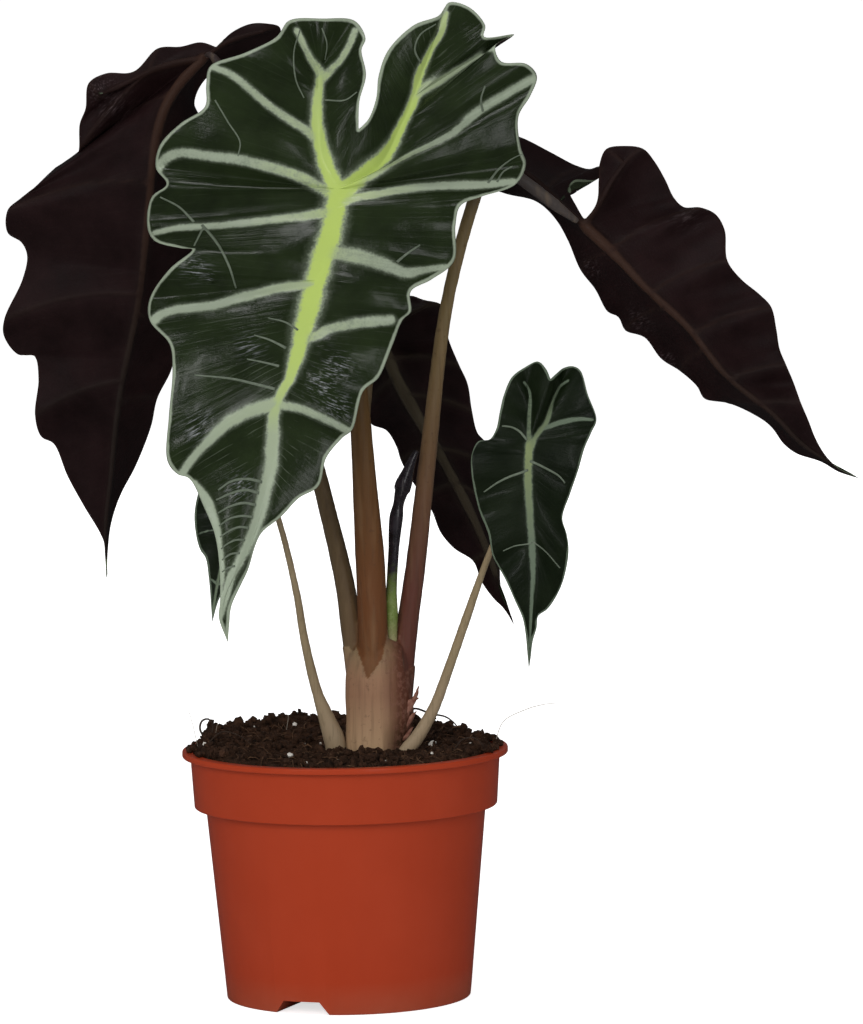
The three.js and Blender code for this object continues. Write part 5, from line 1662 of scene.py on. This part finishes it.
def melted(bm):
    """One skin round all the closed shells in the bmesh, smoothed a few times."""
    body = new_object("melt", bm)
    modifier = body.modifiers.new("melt", "REMESH")
    modifier.mode = "VOXEL"
    modifier.voxel_size = VOXEL
    evaluated = body.evaluated_get(bpy.context.evaluated_depsgraph_get())
    mesh = evaluated.to_mesh()
    skin = bmesh.new()
    skin.from_mesh(mesh)
    evaluated.to_mesh_clear()
    bpy.data.objects.remove(body)
    smoothed(skin, skin.verts, MELT_SMOOTHINGS)
    return skin


def main_stem_body():
    """The four stalks and the base, melted together."""
    bm = bmesh.new()
    for stalk in STALKS.values():
        tube(bm, stalk["points"], stalk["radii"], sides=28, spacing=1.5, end=0.988, narrowed=0.05)
    rolled_grid(bm, trunk_rings())
    return melted(bm)


# %% [markdown]
# The skin then gets what the remesh can't hold: the step at the lip of the open sheath, fine
# lengthwise ridges, and the numbers that its finish reads. Each point learns which stalk it lies
# on and whether the sheath covers it, so the finish can run from the creamy base to the brown,
# purple and grey stalks.

# %% Sheath lip and skin numbers
LIP_STEP = 0.55
LIP_TOP = 142
LIP_EASE = 24  # mm below the top in which the step grows to its full height
RIDGE_HEIGHT = 0.12
LIP_WAVE = 0.8
LIP_LINE = ([4, 8, 14, 16, 20.5, 22], [129, 131, 132, 138, 138, 121])  # x, and the lip's height
OPENING_FOOT = 118  # the V's lowest height
OPENING_LEFT = ([118, 124.6, 127.5, 134], [8.7, 6.7, 5.6, 3.5])  # heights, and the V's edge in x
OPENING_RIGHT = ([118, 122.8, 126, 131.6, 136], [8.7, 12.2, 14.4, 15.5, 16.5])
STALK_SHARPNESS = 4  # how sharply one stalk's colour passes into the next


def ridges_at(point, across, along):
    """A noise that changes quickly across a stalk and slowly along it."""
    return noise.noise(Vector((point[0] * across, point[1] * across, point[2] * along)))


def radii_away(stalk, points):
    """For each point its distance from the stalk's line over the stalk's radius there."""
    shares = np.linspace(0, 1, 160)
    return nearest_sample(points, evenly(stalk["points"], shares), ramp(stalk["radii"], shares))[0]


def sheath_cover(points):
    """1 where the outer sheath covers the stalks, 0 in its open V and above its lip."""
    x, y, z = points.T
    between = (x > np.interp(z, *OPENING_LEFT)) & (x < np.interp(z, *OPENING_RIGHT))
    open_front = between & (y < 0) & (z > OPENING_FOOT)
    lip = np.interp(x, *LIP_LINE) + LIP_WAVE * np.sin(x * 1.3)
    return np.where(open_front | (z > lip), 0.0, 1.0)


def dress_stem(bm):
    """Moves the skin for lip and ridges and stores the numbers that the finish reads."""
    names = ("sheath", "front", "right", "left")
    layers = {name: bm.verts.layers.float.new(name) for name in names}
    verts = list(bm.verts)
    bm.normal_update()
    points = np.array([vert.co[:] for vert in verts])
    normals = np.array([vert.normal[:] for vert in verts])
    cover = sheath_cover(points)
    near = {name: np.exp(-STALK_SHARPNESS * radii_away(stalk, points)) for name, stalk in STALKS.items()}
    total = sum(near.values())
    for name in names[1:]:
        for vert, value in zip(verts, near[name] / total):
            vert[layers[name]] = value
    low = np.clip((LIP_TOP - points[:, 2]) / LIP_EASE, 0, 1)
    step = np.where(cover > 0.5, LIP_STEP * low, 0)
    grain = np.array([ridges_at(point, 1.4, 0.06) for point in points])
    points = points + normals * (step + RIDGE_HEIGHT * grain)[:, None]
    for vert, point, value in zip(verts, points, cover):
        vert.co = point
        vert[layers["sheath"]] = value
    smoothed(bm, bm.verts, 1, factor=0.3)
    return bm


def height_above(tree, low, high):
    """0 at the low height and 1 at the high one, in metres."""
    return ranged(tree, place_of(tree, "Z"), low, high)


def stem_material():
    """Living stalk skin: creamy at the soil, pinkish sheath, brown and purple above, streaked."""
    material, tree, output = new_material("stalk_skin")
    streak = streaked(tree, 900, 0.04)
    broad = streaked(tree, 320, 0.06)
    fleck = mottled(tree, 500, 2.5)
    sheath = attribute(tree, "sheath")
    sideways = place_of(tree, "X")
    brown = blend_colour(tree, height_above(tree, 0.15, 0.3), colour(0.125, 0.045, 0.014),
                         colour(0.072, 0.062, 0.016))
    purple = blend_colour(tree, height_above(tree, 0.15, 0.25), colour(0.095, 0.03, 0.02),
                          colour(0.16, 0.115, 0.05))
    grey = blend_colour(tree, height_above(tree, 0.14, 0.25), colour(0.105, 0.068, 0.034),
                        colour(0.11, 0.08, 0.04))
    tone = blend_colour(tree, attribute(tree, "front"), grey, brown)
    tone = blend_colour(tree, attribute(tree, "right"), tone, purple)
    tone = blend_colour(tree, height_above(tree, 0.285, 0.305), tone, colour(0.03, 0.021, 0.02))
    bent_over = ranged(tree, sideways, 0.058, 0.066)  # where the right stalk comes down again
    tone = washed(tree, tone, bent_over, attribute(tree, "right"), colour(0.052, 0.043, 0.04))
    cream = blend_colour(tree, height_above(tree, 0.093, 0.112), colour(0.40, 0.26, 0.15),
                         colour(0.26, 0.14, 0.08))
    wedge = blend_colour(tree, height_above(tree, 0.118, 0.128), cream, colour(0.21, 0.14, 0.075))
    # The sheath's right flank turns dark red-brown: partly its own colour, partly painted shade.
    red_flank_and_shade = ranged(tree, calc(tree, "MULTIPLY_ADD", broad, 0.004, sideways), 0.0155, 0.0225)
    tone = blend_colour(tree, sheath, tone, blend_colour(tree, red_flank_and_shade, wedge, colour(0.10, 0.033, 0.018)))
    # Painted shade: the right flank turns nearly black low down, by the soil.
    foot = blend_colour(tree, height_above(tree, 0.094, 0.104), colour(0.03, 0.013, 0.006), tone)
    tone = blend_colour(tree, red_flank_and_shade, tone, foot)
    scaly = scaled(tree, red_flank_and_shade, ranged(tree, fleck, 0.45, 0.8))
    tone = washed(tree, tone, scaled(tree, scaly, sheath), 0.6, colour(0.22, 0.10, 0.07))
    tone = washed(tree, tone, ranged(tree, streak, 0.5, 0.75), 0.3, colour(0.045, 0.024, 0.014))
    tone = washed(tree, tone, ranged(tree, broad, 0.5, 0.8), 0.22, colour(0.28, 0.19, 0.10))
    tone = washed(tree, tone, ranged(tree, fleck, 0.75, 0.95), 0.35, colour(0.06, 0.028, 0.016))
    rough = ranged(tree, broad, 0.2, 0.8, 0.38, 0.56)
    surface_of(tree, output, tone, rough, streak, 0.35, 0.0003, Specular_IOR_Level=0.25)
    return material


finish_piece("main_stem_fine", dress_stem(main_stem_body()), [stem_material()], "stalk_brown", "main_stem")

# %% [markdown]
# ## The two offsets
# Two young plants stand beside the main one. Their thin stalks leave a swollen, sheathed foot,
# which ends in a small papery flap.

# %% Offset stalks
SMALL_LEFT_STALK = {
    "points": [[-3.5, -1, 80], [-3.5, -3, 93.5], [-6, -5, 102], [-10, -8, 114.5], [-14, -12, 133.5],
               [-16.5, -17, 151.5], [-22.5, -23, 179], [-28, -26, 194], [-33, -28, 199],
               [-36, -34, 196.5]],
    "radii": [3.6, 3.9, 2, 1.6, 1.4, 1.2, 1.1, 1.1, 1.1],
}
SMALL_RIGHT_STALK = {
    "points": [[18.5, -12, 78], [21, -12.5, 89.5], [27, -13, 97.5], [33, -14, 108], [38, -16, 121],
               [45, -19, 140.5], [52, -22, 160], [62, -25, 185], [67, -27, 203], [69, -32, 207]],
    "radii": [2.6, 2.7, 2, 1.7, 1.6, 1.2, 1.1, 1.1, 1.1],
}


def offset_material():
    """Beige to olive stalk skin with fine streaks, paler at its foot."""
    material, tree, output = new_material("offset_skin")
    streak = streaked(tree, 1300, 0.05)
    broad = mottled(tree, 60, 2)
    upper = blend_colour(tree, broad, colour(0.21, 0.155, 0.085), colour(0.26, 0.2, 0.115))
    tone = blend_colour(tree, height_above(tree, 0.1, 0.125), colour(0.31, 0.23, 0.145), upper)
    tone = washed(tree, tone, ranged(tree, streak, 0.5, 0.75), 0.4, colour(0.09, 0.07, 0.035))
    rough = ranged(tree, broad, 0.2, 0.8, 0.4, 0.55)
    surface_of(tree, output, tone, rough, streak, 0.3, 0.0002, Specular_IOR_Level=0.3)
    return material


OFFSET_RIDGE_HEIGHT = 0.1
OFFSET_SKIN = offset_material()


def offset_stem(side, stalk):
    """One offset's stalk with fine lengthwise ridges."""
    bm = bmesh.new()
    tube(bm, stalk["points"], stalk["radii"], sides=24, spacing=0.9, end=0.99)
    bm.normal_update()
    for vert in bm.verts:
        vert.co += vert.normal * OFFSET_RIDGE_HEIGHT * ridges_at(vert.co, 1.6, 0.08)
    node = f"offset_stem_{side}"
    finish_piece(f"{node}_fine", bm, [OFFSET_SKIN], "offset_stalk_olive", node)


offset_stem("left", SMALL_LEFT_STALK)
offset_stem("right", SMALL_RIGHT_STALK)

# %% [markdown]
# A few torn scales of dry sheath stick out at the stem's right side. They are short tubes that
# run to a point, drawn in the image's own place and pushed back to the stem's skin.

# %% Dry scales
SCALE_LINES = [
    # pixels, and radii in mm from foot to point
    ([(401, 720), (409, 708), (415, 697), (419, 686)], [1.6, 1.4, 0.9, 0.2]),
    ([(402, 709), (411, 701), (419, 698)], [1.4, 1.0, 0.2]),
    ([(400, 731), (408, 722), (416, 711)], [1.7, 1.3, 0.2]),
    ([(398, 740), (407, 735), (413, 727)], [1.6, 1.1, 0.2]),
]
SCALE_DEPTH = -4.0  # mm before the pot's axis
SCALE_CURL = 0.35
SCALE = plain_material("dry_scale", colour(0.13, 0.045, 0.03), colour(0.3, 0.15, 0.105), 500, 0.7)


def dry_scales():
    """Short tubes that run to a point, a little curled."""
    bm = bmesh.new()
    for pixels, radii in SCALE_LINES:
        rays = [photo_ray(*pixel) for pixel in pixels]
        points = [(EYE + ray * ((SCALE_DEPTH - EYE.y) / ray.y))[:] for ray in rays]
        tube(bm, points, radii, sides=10, spacing=0.6)
    for vert in bm.verts:
        vert.co.z += SCALE_CURL * noise.noise(vert.co / 1.3)
        vert.co.x += SCALE_CURL * noise.noise(vert.co / 1.1 + Vector((5, 2, 8)))
    return bm


finish_piece("dry_scales", dry_scales(), [SCALE], "stalk_brown")

# %% [markdown]
# ## The new leaf
# The next leaf is still rolled up like a paper scroll: its section is a spiral with a step where
# the outer turn ends, and the step winds round as the spear rises. Halfway up, one turn ends in
# a ragged shoulder and the rest goes on thinner.

# %% Rolled leaf
NEW_LEAF_STALK = {
    "points": [[17.5, 0, 117], [17.5, 0, 131.5], [18, -1, 146.5], [19, -2, 161.5], [20.5, -2, 178],
               [22.5, -2, 187], [25.5, -2, 196], [28, -2, 201.5]],
    "radii": [2.4, 2.5, 2.8, 2.5, 2.3, 2.9, 2.9, 0.9],
}
ROLLED_FROM = 141  # mm, where the foot's round section starts to turn into a spiral
ROLLED_WITHIN = 8  # mm in which it has turned into one
ROLL_RIPPLE = 0.05  # of the radius
SEAM_START = 2.2
SEAM_TURN = 5.5  # how far the seam winds round on its way up, in radians
SEAM_STEP = 0.24  # of the radius
SHOULDER_HEIGHT = 186
SHOULDER_STEP = 0.22
NECK_DEPTH = 0.25  # of the radius
NECK_BELOW = 4
NECK_LENGTH = 3.5


def rolled_leaf_body(rows=190, sides=64):
    """The spear: rings of a spiral section that winds, with a neck under its ragged shoulder."""
    shares = np.linspace(0, 1, rows)
    line = evenly(NEW_LEAF_STALK["points"], shares)
    first, second = across_axes(line)
    radii = ramp(NEW_LEAF_STALK["radii"], shares)
    turns = np.linspace(0, math.tau, sides, endpoint=False)
    height = line[:, 2][:, None]
    seam = SEAM_START + shares[:, None] * SEAM_TURN
    around = np.mod(turns[None] - seam, math.tau) / math.tau
    rolled = np.clip((height - ROLLED_FROM) / ROLLED_WITHIN, 0, 1)
    scroll = 1 - rolled * (SEAM_STEP * around ** 1.5) + rolled * ROLL_RIPPLE * np.sin(around * 14)
    ragged = SHOULDER_HEIGHT + 1.6 * np.sin(2 * turns + 0.5) + 0.7 * np.sin(7 * turns)
    above = 1 / (1 + np.exp((ragged[None] - height) / SHOULDER_STEP))
    neck = np.exp(-((height - SHOULDER_HEIGHT + NECK_BELOW) / NECK_LENGTH) ** 2)
    size = radii[:, None] * scroll * (1 - NECK_DEPTH * neck * (1 - above)) * (0.92 + 0.2 * above)
    rings = line[:, None] + first[:, None] * (size * np.cos(turns))[:, :, None]
    rings = rings + second[:, None] * (size * np.sin(turns))[:, :, None]
    bm = bmesh.new()
    rolled_grid(bm, rings)
    return bm


# %% Rolled leaf's skin
def new_leaf_material():
    """Glossy near-black roll with a purple cast, fresh green at its foot, pale seams."""
    material, tree, output = new_material("new_leaf_skin")
    streak = streaked(tree, 1100, 0.07)
    blotch = mottled(tree, 320, 2.6)
    dark = blend_colour(tree, blotch, colour(0.006, 0.005, 0.006), colour(0.022, 0.017, 0.022))
    green = blend_colour(tree, blotch, colour(0.10, 0.15, 0.03), colour(0.19, 0.24, 0.07))
    foot = blend_colour(tree, height_above(tree, 0.128, 0.14), colour(0.27, 0.22, 0.12), green)
    wander = calc(tree, "MULTIPLY_ADD", blotch, 0.012, place_of(tree, "Z"))
    tone = blend_colour(tree, ranged(tree, wander, 0.153, 0.166), foot, dark)
    tone = washed(tree, tone, ranged(tree, streak, 0.62, 0.72), 0.25, colour(0.2, 0.18, 0.17))
    rough = ranged(tree, blotch, 0, 1, 0.2, 0.34)
    surface_of(tree, output, tone, rough, streak, 0.4, 0.0003, Coat_Weight=0.3, Coat_Roughness=0.15)
    return material


finish_piece("new_leaf_fine", rolled_leaf_body(), [new_leaf_material()], "new_leaf_dark", "new_leaf_rolled")
